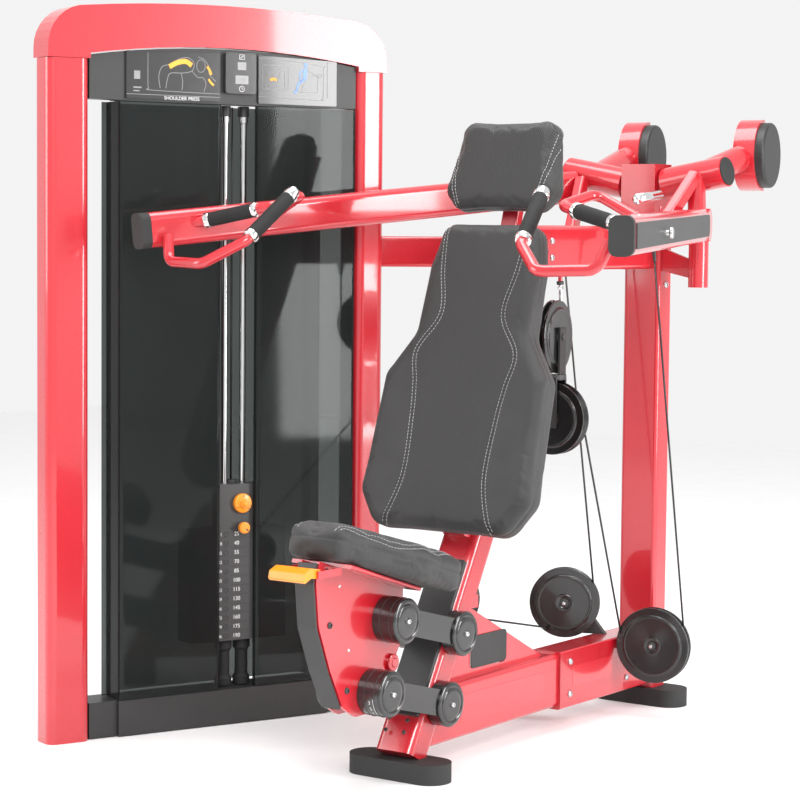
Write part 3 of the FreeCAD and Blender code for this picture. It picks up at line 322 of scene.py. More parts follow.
def plate(name, pts, t, pos, xdir, ydir, mat, body, bevel=0.001):
    """Flat polygon of (x, y) points, t thick along x cross y."""
    x, y = V(xdir).normalized(), V(ydir).normalized()
    z = x.cross(y)
    n = len(pts)
    vs = [V(pos) + x * a + y * b for a, b in pts] + [V(pos) + x * a + y * b + z * t for a, b in pts]
    fs = [tuple(range(n))[::-1],
          tuple(range(n, 2 * n))] + [(i, (i + 1) % n, n + (i + 1) % n, n + i) for i in range(n)]
    ob = mesh_obj(name, vs, fs, mat, body)
    if bevel:
        crisp(ob, bevel)
    return ob


def rrect(w, h, r, n=5, cx=0.0, cy=0.0):
    out = []
    for sx, sy, a0 in ((1, -1, -90), (1, 1, 0), (-1, 1, 90), (-1, -1, 180)):
        for k in range(n + 1):
            a = math.radians(a0 + 90 * k / n)
            out.append((cx + sx * (w / 2 - r) + r * math.cos(a), cy + sy * (h / 2 - r) + r * math.sin(a)))
    return out


def screw(name, pos, axis, r, body, mat=ZINC):
    """Button-head screw with a round socket recess."""
    x, y, z = basis(axis)
    ob = lathe(name, [(0.0, r * 0.25), (r * 0.42, r * 0.25), (r * 0.46, r * 0.62), (r * 0.8, r * 0.5),
                      (r, r * 0.14),
                      (r, 0)], pos, axis, mat, body, n=24)
    return ob


def text(name, s, size, pos, xdir, ydir, mat, body, depth=0.0002, align="CENTER"):
    """Raised print as a mesh."""
    c = bpy.data.curves.new(name, "FONT")
    c.body, c.size, c.extrude = s, size, depth
    c.align_x, c.align_y = align, "CENTER"
    tmp = bpy.data.objects.new(name + "_c", c)
    bpy.context.scene.collection.objects.link(tmp)
    me = bpy.data.meshes.new_from_object(tmp.evaluated_get(bpy.context.evaluated_depsgraph_get()))
    bpy.data.objects.remove(tmp)
    x, y = V(xdir).normalized(), V(ydir).normalized()
    z = x.cross(y)
    m = Matrix((x, y, z)).transposed().to_4x4()
    m.translation = V(pos)
    me.transform(m)
    me.materials.clear()
    me.materials.append(mat)
    ob = bpy.data.objects.new(name, me)
    bpy.context.scene.collection.objects.link(ob)
    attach(ob, body)
    return ob


def arcpts(c, r, a0, a1, x, y, n=16):
    return [V(c) + V(x) * r * math.cos(a0 + (a1 - a0) * i / n) + V(y) * r * math.sin(a0 + (a1 - a0) * i / n)
            for i in range(n + 1)]


# CAD nodes keep their shape and get small edge rounds for the light to catch
WELDED = ("front_post", "base_frame", "top_frame", "rear_column", "arm_left_frame", "arm_right_frame",
          "seat_carriage")
ROUND_BARS = ("arm_left_handle", "arm_right_handle", "guide_rods", "selector_stem")
WELDED_EDGE, BAR_EDGE, PART_EDGE = 0.0018, 0.0003, 0.0009
for name, ob in frame["nodes"].items():
    if SLOT_OF[name] in ("upholstery", "smoked", "cable"):
        continue
    w = WELDED_EDGE if name in WELDED else BAR_EDGE if name in ROUND_BARS else PART_EDGE
    ob.data.shade_smooth()
    crisp(ob, w, 2, 38)


# ---------------------------------------------------------------- cushions
def pad_axes(origin, deg, seat=False):
    """Origin, across, up-the-pad and outward directions of a pad face, in metres."""
    sn, cs = math.sin(math.radians(deg)), math.cos(math.radians(deg))
    if seat:
        return V(origin), V((1, 0, 0)), V((0, cs, -sn)), V((0, sn, cs))
    return V(origin), V((1, 0, 0)), V((0, sn, cs)), V((0, -cs, sn))


BACK = pad_axes((0, 0.140, 0.600), 16.9)
HEAD = pad_axes((0, 0.400, 1.425), 15.9)
SEAT = pad_axes((0, -0.363, 0.678), 16.8, True)


def seg_dist(x, s, line):
    """Distance from (x, s) to a polyline."""
    best = 9.0
    for (ax, ay), (bx, by) in zip(line, line[1:]):
        dx, dy = bx - ax, by - ay
        t = max(0.0, min(1.0, ((x - ax) * dx + (s - ay) * dy) / (dx * dx + dy * dy + 1e-12)))
        best = min(best, math.hypot(x - ax - t * dx, s - ay - t * dy))
    return best


def smooth_line(pts, n=8):
    """Catmull-Rom curve through 2-D points."""
    out = []
    for i in range(len(pts) - 1):
        p0, p1, p2, p3 = pts[max(i - 1, 0)], pts[i], pts[i + 1], pts[min(i + 2, len(pts) - 1)]
        for k in range(n):
            t = k / n
            out.append(tuple(0.5 * (2 * p1[j] + (p2[j] - p0[j]) * t
                                    + (2 * p0[j] - 5 * p1[j] + 4 * p2[j] - p3[j]) * t * t
                                    + (3 * p1[j] - p0[j] - 3 * p2[j] + p3[j]) * t ** 3) for j in (0, 1)))
    return out + [tuple(pts[-1])]


def flip(line):
    return [(-x, s) for x, s in line]


def cushion(node, axes, body, cap, shrink, centre, seams, bands, mat):
    """Upholstered pad: remeshed and inflated copy of the CAD solid, then pressed seams and two covers."""
    o, ex, es, en = axes
    src = frame["nodes"][node]
    ob = bpy.data.objects.new(node + "_cover", src.data.copy())
    bpy.context.scene.collection.objects.link(ob)
    ob.matrix_world = src.matrix_world.copy()
    bpy.context.view_layer.update()
    ob.data.transform(ob.matrix_world)
    ob.matrix_world = Matrix.Identity(4)
    rm = ob.modifiers.new("voxels", "REMESH")
    rm.mode, rm.voxel_size = "VOXEL", 0.006
    dg = bpy.context.evaluated_depsgraph_get()
    me = bpy.data.meshes.new_from_object(ob.evaluated_get(dg))
    ob.modifiers.clear()
    ob.data = me
    mid = sum((v.co for v in me.vertices), V()) / len(me.vertices)
    lo = min((v.co - o).dot(en) for v in me.vertices)
    for v in me.vertices:
        q = v.co - mid
        v.co -= ex * (q.dot(ex) * shrink) + es * (q.dot(es) * shrink) + en * (q.dot(en) * 3 * shrink)
    rest = [v.co.copy() for v in me.vertices]
    cl = ob.modifiers.new("inflate", "CLOTH")
    st = cl.settings
    st.use_pressure, st.uniform_pressure_force = True, 4.0
    st.quality, st.mass = 5, 0.3
    st.tension_stiffness = st.compression_stiffness = 25
    st.bending_stiffness = 0.6
    st.effector_weights.gravity = 0
    cl.collision_settings.use_collision = False
    for f in range(1, 21):
        bpy.context.scene.frame_set(f)
    dg = bpy.context.evaluated_depsgraph_get()
    sim = bpy.data.meshes.new_from_object(ob.evaluated_get(dg))
    ob.modifiers.clear()
    bpy.context.scene.frame_set(1)
    for v, w, r in zip(me.vertices, sim.vertices, rest):
        d = w.co - r
        v.co = r + (d if d.length <= cap else d * (cap / d.length))
    for v in me.vertices:
        if (v.co - o).dot(en) < lo + 0.002:
            v.co += en * (lo + 0.002 - (v.co - o).dot(en))
    sb = ob.modifiers.new("sub", "SUBSURF")
    sb.levels = sb.render_levels = 1
    me = bpy.data.meshes.new_from_object(ob.evaluated_get(bpy.context.evaluated_depsgraph_get()))
    ob.modifiers.clear()
    ob.data = me
    me.calc_loop_triangles()
    normals = [v.normal.copy() for v in me.vertices]
    for v, normal in zip(me.vertices, normals):
        q = v.co - o
        x, s, d = q.dot(ex), q.dot(es), q.dot(en)
        facing = max(0.0, normal.dot(en))
        dep = 0.0
        for line, depth, width in seams:
            dep = max(dep, depth * math.exp(-(seg_dist(x, s, line) / width) ** 2))
        for at, depth, width in bands:
            t = (d - at) / width
            if abs(t) < 3 and facing < 0.8:
                v.co -= normal * depth * math.exp(-t * t)
        v.co -= en * dep * min(1.0, facing * 1.6)
    me.materials.clear()
    me.materials.append(mat)
    me.materials.append(LEATHER)
    for p in me.polygons:
        q = p.center - o
        x, s = q.dot(ex), q.dot(es)
        p.material_index = 0 if centre(x, s) and p.normal.dot(en) > 0.25 else 1
        p.use_smooth = True
    ob.name = node + "_cover"
    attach(ob, body)
    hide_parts(node)
    return ob


def stitches(name, cover, axes, body, lines, length=0.0062, gap=0.0028, r=0.00075, reach=0.12):
    """Thread stitches laid on a cover along (x, s) lines, one small capsule each."""
    o, ex, es, en = axes
    me = cover.data
    tree = BVHTree.FromPolygons([v.co for v in me.vertices], [p.vertices[:] for p in me.polygons])
    vs, fs = [], []
    for line in lines:
        pts, acc = [], []
        for a, b in zip(line, line[1:]):
            n = max(1, int(math.hypot(b[0] - a[0], b[1] - a[1]) / 0.001))
            acc += [(a[0] + (b[0] - a[0]) * k / n, a[1] + (b[1] - a[1]) * k / n) for k in range(n)]
        step = 0.0
        run = []
        for a, b in zip(acc, acc[1:]):
            dd = math.hypot(b[0] - a[0], b[1] - a[1])
            step += dd
            on = (step % (length + gap)) < length
            if on:
                run.append(a)
            if (not on or b == acc[-1]) and len(run) > 2:
                pts.append((run[0], run[len(run) // 2], run[-1]))
                run = []
            if not on:
                run = []
        for tri in pts:
            hit = []
            for x, s in tri:
                h = tree.ray_cast(o + ex * x + es * s + en * reach, -en)
                if h[0] is None or h[1].dot(en) < 0.15:
                    break
                hit.append(h[0] + h[1] * (r * 0.45))
            if len(hit) < 3:
                continue
            base = len(vs)
            n = 6
            t = (hit[2] - hit[0]).normalized()
            a, b, _ = basis(t, en)
            rings = [(hit[0] - t * r * 0.5 - a * r * 0.7, 0.35), (hit[0], 1),
                     (hit[1] + a * r * 0.25, 1.05), (hit[2], 1),
                     (hit[2] + t * r * 0.5 - a * r * 0.7, 0.35)]
            for c, k in rings:
                vs += [c + (a * math.cos(2 * math.pi * j / n) + b * math.sin(2 * math.pi * j / n)) * r * k
                       for j in range(n)]
            for i in range(4):
                fs += [(base + i * n + j, base + i * n + (j + 1) % n, base + (i + 1) * n + (j + 1) % n,
                        base + (i + 1) * n + j) for j in range(n)]
            fs += [tuple(base + j for j in range(n))[::-1], tuple(base + 4 * n + j for j in range(n))]
    return mesh_obj(name, vs, fs, THREAD, body)


def offset(line, d):
    out = []
    for i, (x, s) in enumerate(line):
        a, b = line[max(i - 1, 0)], line[min(i + 1, len(line) - 1)]
        t = V((b[0] - a[0], b[1] - a[1])).normalized()
        out.append((x - t.y * d, s + t.x * d))
    return out


def x_at(line, s):
    """Half width of a seam line at height s."""
    best = min(line, key=lambda p: abs(p[1] - s))
    return best[0]


STITCH_GAP = 0.0055      # each seam has a row of thread this far to either side


def seamed_pad(node, axes, body, cap, shrink, seam, groove, band, mat):
    """Cushion with a mirrored pair of seams, and a row of stitches on both sides of each."""
    seams = (seam, flip(seam))
    pad = cushion(node, axes, body, cap, shrink, lambda x, s: abs(x) < x_at(seam, s),
                  [(line, *groove) for line in seams], [band], mat)
    stitches(node + "_stitching", pad, axes, body,
             [offset(line, d) for line in seams for d in (STITCH_GAP, -STITCH_GAP)])


back_seam = smooth_line([(0.131, 0.835), (0.1155, 0.70), (0.096, 0.579), (0.153, 0.478), (0.140, 0.39),
                         (0.130, 0.30), (0.126, 0.141), (0.167, 0.012)])
head_seam = smooth_line([(0.155, 0.235), (0.148, 0.15), (0.135, 0.06), (0.118, 0.012)])
seat_seam = smooth_line([(0.060, 0.012), (0.085, 0.09), (0.125, 0.20), (0.140, 0.30), (0.132, 0.415)])
seamed_pad("back_pad", BACK, "frame", 0.009, 0.012, back_seam, (0.0035, 0.005), (-0.028, 0.002, 0.004),
           TW_BACK)
seamed_pad("head_pad", HEAD, "frame", 0.009, 0.014, head_seam, (0.003, 0.005), (-0.026, 0.002, 0.004),
           TW_BACK)
seamed_pad("seat_pad", SEAT, "seat", 0.012, 0.014, seat_seam, (0.0035, 0.005), (-0.034, 0.0022, 0.004),
           TW_SEAT_LIT)

# ---------------------------------------------------------------- tower details
TX = (TOWER.to_3x3() @ V((1, 0, 0))).normalized()
TB = (TOWER.to_3x3() @ V((0, 1, 0))).normalized()
UP = V((0, 0, 1))
FR = -TB


def face(u, z, v=0.0056, lift=0.0):
    return tp(u, v - lift, z)


def ribbon(name, lines, width, v, mat, body="frame", depth=0.00035):
    """Printed strokes on the tower front: flat bands along (u, z) polylines."""
    vs, fs = [], []
    for line in lines:
        w = width
        if isinstance(line, tuple):
            line, w = line
        base = len(vs)
        for i, (u, z) in enumerate(line):
            a, b = line[max(i - 1, 0)], line[min(i + 1, len(line) - 1)]
            t = V((b[0] - a[0], b[1] - a[1]))
            t = t.normalized() if t.length else V((1, 0))
            for sgn in (-1, 1):
                uu, zz = u - t.y * w / 2 * sgn, z + t.x * w / 2 * sgn
                vs += [tp(uu, v, zz), tp(uu, v - depth, zz)]
        for i in range(len(line) - 1):
            k = base + i * 4
            fs += [(k + 1, k + 5, k + 7, k + 3), (k, k + 4, k + 5, k + 1), (k + 2, k + 3, k + 7, k + 6)]
    return mesh_obj(name, vs, fs, mat, body, smooth=False)


def oval(cx, cz, a, b, n=18, a0=0.0, a1=2 * math.pi, tilt=0.0):
    out = []
    for i in range(n + 1):
        t = a0 + (a1 - a0) * i / n
        x, z = a * math.cos(t), b * math.sin(t)
        out.append((cx + x * math.cos(tilt) - z * math.sin(tilt),
                    cz + x * math.sin(tilt) + z * math.cos(tilt)))
    return out


PV = 0.0055
left_frame = smooth_line([(0.169, 1.835), (0.169, 1.752), (0.172, 1.741), (0.182, 1.736), (0.386, 1.733)],
                         6)
right_frame = smooth_line([(0.504, 1.836), (0.600, 1.832), (0.706, 1.821), (0.709, 1.812), (0.709, 1.742),
                           (0.704, 1.731), (0.692, 1.727), (0.504, 1.731)], 6)
inset = [(0.520, 1.818), (0.592, 1.816), (0.597, 1.811), (0.597, 1.757), (0.592, 1.752), (0.520, 1.752),
         (0.516, 1.757), (0.516, 1.813), (0.520, 1.818)]
ribbon("placard_frames", [left_frame, right_frame, inset, [(0.722, 1.835), (0.722, 1.735)],
                          [(0.106, 1.724), (0.386, 1.724)]], 0.0014, PV, PALE)
body_lines = [smooth_line([(0.205, 1.742), (0.201, 1.775), (0.212, 1.800), (0.238, 1.807), (0.262, 1.822),
                           (0.290, 1.826), (0.306, 1.812), (0.300, 1.792), (0.272, 1.785), (0.236, 1.783),
                           (0.226, 1.765), (0.222, 1.742)], 6),
              smooth_line([(0.268, 1.784), (0.272, 1.760), (0.270, 1.740)], 6),
              smooth_line([(0.318, 1.830), (0.336, 1.824), (0.350, 1.806), (0.352, 1.786), (0.372, 1.766)],
                          6),
              smooth_line([(0.300, 1.792), (0.316, 1.776), (0.334, 1.774), (0.342, 1.758), (0.336, 1.738)],
                          6),
              oval(0.327, 1.806, 0.013, 0.017)]
ribbon("placard_anatomy", body_lines, 0.0016, PV, PALE)
ribbon("placard_muscles",
       [(smooth_line([(0.232, 1.800), (0.256, 1.812), (0.282, 1.816), (0.299, 1.806)], 8), 0.013),
                           (smooth_line([(0.346, 1.806), (0.354, 1.794), (0.358, 1.784)], 6), 0.007),
                           (smooth_line([(0.350, 1.772), (0.358, 1.762), (0.366, 1.756)], 6), 0.006),
                           (smooth_line([(0.540, 1.777), (0.550, 1.781), (0.560, 1.777)], 4), 0.007)],
       0.010, PV - 0.0001, AMBER)
ribbon("placard_machine", [[(0.548, 1.772), (0.552, 1.790), (0.568, 1.806), (0.590, 1.804)],
                           [(0.556, 1.757), (0.586, 1.757), (0.586, 1.800)],
                           [(0.560, 1.760), (0.572, 1.800)],
                           oval(0.532, 1.760, 0.006, 0.006),
                           [(0.628, 1.748), (0.690, 1.748), (0.690, 1.792)],
                           [(0.640, 1.752), (0.654, 1.790), (0.694, 1.796)],
                           oval(0.698, 1.795, 0.006, 0.006),
                           [(0.650, 1.812), (0.690, 1.792)]], 0.0017, PV, PALE)
ribbon("placard_user",
       [(oval(0.652, 1.822, 0.003, 0.004), 0.006), ([(0.652, 1.812), (0.648, 1.782)], 0.013),
                        ([(0.642, 1.812), (0.632, 1.796), (0.638, 1.776)], 0.0045),
                        ([(0.648, 1.782), (0.630, 1.772), (0.622, 1.748), (0.614, 1.746)], 0.007)],
       0.006, PV - 0.0001, BLUEP)
text("placard_title", "SHOULDER PRESS", 0.0135, face(0.270, 1.7165, PV), TX, UP, INK, "frame")
ribbon("placard_hints",
       [([(0.128, 1.775), (0.146, 1.775)], 0.022), ([(0.126, 1.742), (0.150, 1.742)], 0.004),
                         ([(0.126, 1.733), (0.144, 1.733)], 0.003)], 0.004, PV, PALE)

# repetition counter: two windows with grey segments, two key marks
CV = -0.0034
for i, (z, w, h) in enumerate(((1.8105, 0.026, 0.021), (1.7735, 0.040, 0.023))):
    plate("counter_window_%d" % i, rrect(w, h, 0.002), 0.0008, face(0.4475, z, CV), TX, UP,
          surface("lcd_%d" % i, grey(0.26), grey(0.34), (0.12, 0.2), coat=0.6), "frame", 0.0003)
    for j in range(3 if i else 2):
        du = (j - (1 if i else 0.5)) * 0.010
        text("counter_digit_%d%d" % (i, j), "0", 0.015, face(0.4475 + du, z, CV - 0.0009), TX, UP, PALE,
             "frame")
ribbon("counter_marks", [oval(0.4475, 1.749, 0.0075, 0.0075), [(0.4475, 1.749), (0.4475, 1.7535)],
                         [(0.4475, 1.749), (0.4505, 1.747)]] + [
    [(0.440, 1.829), (0.455, 1.829), (0.455, 1.841), (0.440, 1.841), (0.440, 1.829)],
    [(0.443, 1.832), (0.452, 1.838)]], 0.0013, CV, INK)

# weight labels, pin holes and dial marks
PITCH, BASE, PLATE_H, FRONT_V = 0.0258, 0.232, 0.0254, 0.020
for i in range(12):
    z = BASE + (11 - i) * PITCH + PLATE_H / 2
    bd = "weight_carriage" if i == 0 else "frame"
    text("weight_label_%d" % i, str(25 + 15 * i), 0.0155, tp(0.4505, FRONT_V - 0.0001, z), TX, UP, INK, bd)
    text("weight_label_far_%d" % i, str(round((25 + 15 * i) * 0.4536)), 0.0125,
         tp(0.3985, FRONT_V - 0.0001, z), TX, UP,
         INK, bd)
    lathe("pin_bush_%d" % i,
          [(0.0052, 0.0), (0.0078, 0.0), (0.0072, 0.0012), (0.0054, 0.0012), (0.0052, 0.0)],
          tp(0.417, FRONT_V, z), FR, PLAST, bd, n=24)
for k, mark in enumerate(("0", "5", "10")):
    a = math.radians(90 + 120 * k)
    text("dial_mark_%d" % k, mark, 0.016,
         tp(0.465 + 0.016 * math.cos(a), 0.0065, 0.6132 + 0.016 * math.sin(a)),
         TX * math.sin(a) - UP * math.cos(a), TX * math.cos(a) + UP * math.sin(a), PLAST, "increment_dial")
lathe("dial_cap", [(0, 0.0062), (0.0055, 0.0058), (0.0075, 0.004), (0.0075, 0)],
      tp(0.465, -0.0025, 0.6132), FR, ORANGE,
      "increment_dial", n=32)
ribbon("pin_pointer", [([(0.467, 0.5435), (0.474, 0.5375)], 0.0035)], 0.003, -0.0042, PLAST, "selector_pin")
lathe("pin_collar", [(0.0046, 0), (0.009, 0), (0.0085, 0.005), (0.0046, 0.006)], tp(0.465, 0.0195, 0.5457),
      FR, CHROME,
      "selector_pin", n=32)
for i, u in enumerate((0.431, 0.488)):
    lathe("rod_collar_%d" % i,
          [(0.0096, 0), (0.0125, 0.001), (0.0125, 0.024), (0.011, 0.026), (0.011, 0.044),
                                (0.0096, 0.045)], tp(u, 0.062, 1.658), UP, CHROME, "frame", n=40)
    lathe("rod_socket_%d" % i, [(0.0126, 0), (0.016, 0.001), (0.016, 0.028), (0.0126, 0.029)],
          tp(u, 0.062, 1.676), UP,
          PLAST, "frame", n=32)

# ---------------------------------------------------------------- seat linkage, covers
SIDE = {1: "l", -1: "r"}
POST = V((0, 0, 0.05))
LEAN = math.radians(29.6)
for nm, body, (y, z), marks in (("upper_front", "seat_links_upper", (-0.111, 0.4175), False),
                                ("upper_rear", "seat_links_upper", (0.146, 0.352), False),
                                ("lower_front", "seat_links_lower", (-0.171, 0.2455), True),
                                ("lower_rear", "seat_links_lower", (0.086, 0.180), False)):
    for sgn in (1, -1):
        lathe("link_cap_%s_%s" % (nm, SIDE[sgn]),
              [(0, 0.0062), (0.0085, 0.0062), (0.0095, 0.0052), (0.030, 0.0058), (0.038, 0.0052),
               (0.041, 0.0035),
               (0.0425, 0.0020), (0.044, 0.0035), (0.047, 0.0050), (0.052, 0.0044), (0.0555, 0.0022),
               (0.0565, -0.001),
               (0.0565, -0.004), (0, -0.004)], (sgn * 0.0935, y, z), (sgn, 0, 0), GLOSS, body, n=64,
              hint=(0, 0, 1))
        lathe("link_screw_%s_%s" % (nm, SIDE[sgn]),
              [(0, 0.0020), (0.0034, 0.0020), (0.0038, 0.0052), (0.0062, 0.0046), (0.0072, 0.0018),
               (0.0074, -0.001)],
              (sgn * 0.0997, y, z), (sgn, 0, 0), ZINC, body, n=6 * 6, hint=(0, 0, 1))
        if nm.endswith("front"):
            for gx in (0.052, 0.080):
                tube("link_groove_%s_%s_%d" % (nm, SIDE[sgn], int(gx * 1000)),
                     arcpts((sgn * gx, y, z), 0.0571, 0, 2 * math.pi, (0, 1, 0), (0, 0, 1), 60), 0.0010,
                     PLAST, body,
                     n=6, caps=False)
        if marks:
            for k in range(3):
                a = math.radians(196 + 17 * k)
                c = V((sgn * 0.067, y, z)) + V((0, math.cos(a), math.sin(a))) * 0.0572
                n = V((0, math.cos(a), math.sin(a)))
                text("seat_mark_%d_%s" % (k, SIDE[sgn]), "321"[k] if sgn > 0 else "345"[k], 0.013, c,
                     V((1, 0, 0)), n.cross(V((1, 0, 0))), INK, body)
            ring = [V((sgn * 0.067, y, z)) + V((0, math.cos(t), math.sin(t))) * 0.0573
                    for t in [math.radians(186 + 6 * j) for j in range(9)]]
            tube("seat_scale_%s" % SIDE[sgn], [p + V((sgn * 0.011, 0, 0)) for p in ring], 0.0007, INK,
                 body, n=6)

# bolts on the seat carriage and frame
SIDE_X = 0.030
for i, (y, z, r, mt) in enumerate(((-0.352, 0.560, 0.0085, STEEL), (-0.338, 0.430, 0.0085, STEEL),
                                   (-0.268, 0.262, 0.0085, STEEL), (-0.300, 0.520, 0.0045, ZINC),
                                   (-0.262, 0.360, 0.0045, ZINC), (-0.205, 0.260, 0.0045, ZINC))):
    for sgn in (1, -1):
        screw("carriage_bolt_%d_%s" % (i, SIDE[sgn]), (sgn * SIDE_X, y, z), (sgn, 0, 0), r, "seat", mt)
lathe("carriage_boss_cap", [(0, 0.004), (0.010, 0.004), (0.012, 0.002), (0.020, 0.0015), (0.022, 0)],
      (0.038, -0.085, 0.305), (1, 0, 0), RED, "seat")
POST_UP = V((0, math.sin(LEAN), math.cos(LEAN)))
POST_OUT = V((0, -math.cos(LEAN), math.sin(LEAN)))
COVER_FACE, COVER_END = 0.0555, 0.52
for i, s in enumerate((0.44, 0.472)):
    c = POST_OUT * COVER_FACE + POST + POST_UP * (COVER_END - s)
    for x in (-0.028, 0.028):
        screw("post_cover_screw_%d_%d" % (i, x > 0), c + V((x, 0, 0)), POST_OUT, 0.0055, "frame", STEEL)
FRAME_BOLTS = ((0.0315, 0.640, 1.345), (0.0315, 0.640, 1.300), (0.060, 1.218, 1.30), (0.060, 1.218, 1.22),
               (0.047, 0.74, 0.19), (0.047, 0.74, 0.10), (0.047, 1.05, 0.19), (0.047, 1.05, 0.10))
for i, p in enumerate(FRAME_BOLTS):
    screw("frame_bolt_%d" % i, p, (1, 0, 0), 0.009, "frame", ZINC)
# thin raised strips on the near side of the base beam and its socket, and the gusset plate
YV = V((0, 1, 0))
plate("base_strip", rrect(0.40, 0.072, 0.012, cx=0.20, cy=0), 0.0012, (0.0386, 0.215, 0.142), YV, UP, RED,
      "frame", 0.0006)
plate("socket_strip", rrect(0.21, 0.056, 0.008, cx=0.105, cy=0), 0.0012, (0.0455, 0.755, 0.146), YV, UP,
      RED, "frame",
      0.0006)
plate("gusset_window_back", rrect(0.17, 0.085, 0.012), 0.003, (0.0085, 0.385, 0.272), YV, UP, PLAST,
      "frame", 0.0005)


# ---------------------------------------------------------------- pulleys
def pulley_parts(name, c, axis, radius, half, body, pin_body):
    """Rim bead, web recess ring, hub and bolt on both faces of a pulley."""
    c, ax = V(c), V(axis).normalized()
    for sgn in (1, -1):
        s = "a" if sgn > 0 else "b"
        lathe("%s_face_%s" % (name, s),
              [(0.013, 0.0008), (0.018, 0.0028), (0.024, 0.0030), (0.027, 0.0012), (radius - 0.030, 0.0010),
               (radius - 0.027, 0.0022), (radius - 0.0235, 0.0020), (radius - 0.0225, -0.001),
               (0.013, -0.001)],
              c + ax * sgn * half, ax * sgn, GLOSS, body, n=72)
        lathe("%s_nut_%s" % (name, s),
              [(0, 0.0105), (0.0075, 0.0105), (0.0095, 0.009), (0.0095, 0.0025), (0.0125, 0.0022),
                                        (0.0125, 0.0008)], c + ax * sgn * half, ax * sgn, STEEL, pin_body,
              n=6)
        lathe("%s_stud_%s" % (name, s), [(0, 0.0125), (0.0045, 0.0125), (0.0052, 0.0115), (0.0052, 0.010)],
              c + ax * sgn * half, ax * sgn, ZINC, pin_body, n=24)


REAR_P, REAR_A = V((0.160, 1.003, 0.2117)), V((0.187, -0.982, 0)).normalized()
FAR_P, FAR_A = V((-0.100, 0.9475, 0.3148)), V((0.423, -0.906, 0)).normalized()
SEAT_P, SEAT_A = V((-0.050, 0.370, 0.395)), V((0.996, 0.09, 0)).normalized()
UC, UA = V((0, 0.711, 1.084)), V((0.986, 0.163, 0)).normalized()
LC, LA = V((0, 0.711, 0.862)), V((0.06, -0.998, 0)).normalized()
pulley_parts("pulley_rear", REAR_P, REAR_A, 0.106, 0.017, "pulley_rear", "frame")
pulley_parts("pulley_far", FAR_P, FAR_A, 0.100, 0.017, "pulley_far", "frame")
pulley_parts("pulley_float_upper", UC, UA, 0.100, 0.015, "pulley_float_upper", "floating_block")
pulley_parts("pulley_float_lower", LC, LA, 0.100, 0.020, "pulley_float_lower", "floating_block")

# ---------------------------------------------------------------- cables
CR = 0.0028


def run(name, p, q, a=None, b=None):
    """Straight rope run: one ring at each end; left on no body, in world space, when its ends ride different bodies.
    """
    ob = tube(name, [p, q], CR, ROPE, None if a != b else a, n=16)
    if a != b:
        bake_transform(ob)
    return ob


def wrap(name, c, ax, r, d0, d1, body, sgn=1, n=40):
    """Rope laid in a pulley groove from direction d0 round to d1."""
    x = V(d0).normalized()
    x = (x - ax * x.dot(ax)).normalized()
    y = ax.cross(x) * sgn
    e = V(d1).normalized()
    a1 = math.atan2(e.dot(y), e.dot(x)) % (2 * math.pi)
    ob = tube(name, arcpts(c, r, 0, a1, x, y, n), CR, ROPE, body, n=16)
    return ob


E1, E2 = V((0.982, 0.187, 0)), V((0.906, 0.423, 0))
EL, EU = V((0.998, 0.06, 0)), V((-0.163, 0.986, 0))
RR, RF, RL, RU, RS = 0.0925, 0.0865, 0.0885, 0.0865, 0.0425
LUG_L, LUG_R = V((0.146, 0.985, 1.3505)), V((-0.146, 0.985, 1.3285))
run("cable_left_drop_run", REAR_P + E1 * RR, LUG_L, "frame", "press_arm_left")
wrap("cable_rear_wrap", REAR_P, REAR_A, RR, E1, -E1, "frame", 1 if REAR_A.cross(E1).z < 0 else -1)
run("cable_left_return_run", REAR_P - E1 * RR, LC + EL * RL, "frame", "floating_block")
wrap("cable_lower_wrap", LC, LA, RL, EL, -EL, "floating_block", 1 if LA.cross(EL).z > 0 else -1)
seat_top = V((-0.050, 0.370 - 0.755 * RS, 0.395 + 0.655 * RS))
run("cable_seat_return_run", LC - EL * RL, seat_top, "floating_block", "frame")
seat_low = V((-0.050, 0.370 - 0.203 * RS, 0.395 - 0.979 * RS))
wrap("cable_seat_wrap", SEAT_P, SEAT_A, RS, seat_top - SEAT_P, seat_low - SEAT_P, "frame",
     1 if SEAT_A.cross(seat_top - SEAT_P).z < 0 else -1)
far_low = FAR_P + E2 * (-0.462 * RF) + V((0, 0, -0.887 * RF))
run("cable_base_run", seat_low, far_low, "frame", "frame")
wrap("cable_far_wrap", FAR_P, FAR_A, RF, far_low - FAR_P, E2, "frame",
     1 if FAR_A.cross(far_low - FAR_P).dot(E2) > 0 else -1)
run("cable_right_rise_run", FAR_P + E2 * RF, LUG_R, "frame", "press_arm_right")
run("cable_loop_a_run", UC - EU * RU, V((0, 0.621, 1.262)), "floating_block", "frame")
wrap("cable_upper_wrap", UC, UA, RU, -EU, EU, "floating_block", 1 if UA.cross(-EU).z < 0 else -1)
run("cable_loop_b_run", UC + EU * RU, V((0, 0.735, 1.205)), "floating_block", "frame")
run("cable_lift_run", tp(0.4595, 0.074, 0.672), tp(0.4595, 0.074, 1.702), "weight_carriage", "frame")
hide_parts("cable_left_drop")
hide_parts("cable_block_runs")
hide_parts("cable_base")
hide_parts("cable_right_rise")
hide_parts("cable_stack_lift")


def shackle(name, p, down, body, mat=ZINC):
    """Threaded rope end: swaged sleeve, nut and clevis."""
    lathe(name + "_sleeve",
          [(0.0029, 0.064), (0.0046, 0.062), (0.0055, 0.040), (0.0055, 0.026), (0.0045, 0.024),
                             (0.0045, 0.004), (0.0045, 0)], p, down, mat, body, n=24)
    lathe(name + "_nut", [(0.0045, 0), (0.0088, 0), (0.0088, 0.007), (0.0045, 0.007)],
          V(p) + V(down).normalized() * 0.012,
          down, mat, body, n=6)
    lathe(name + "_eye", [(0.004, -0.004), (0.010, -0.003), (0.010, 0.006), (0.004, 0.008)], p, down,
          STEEL, body, n=32)


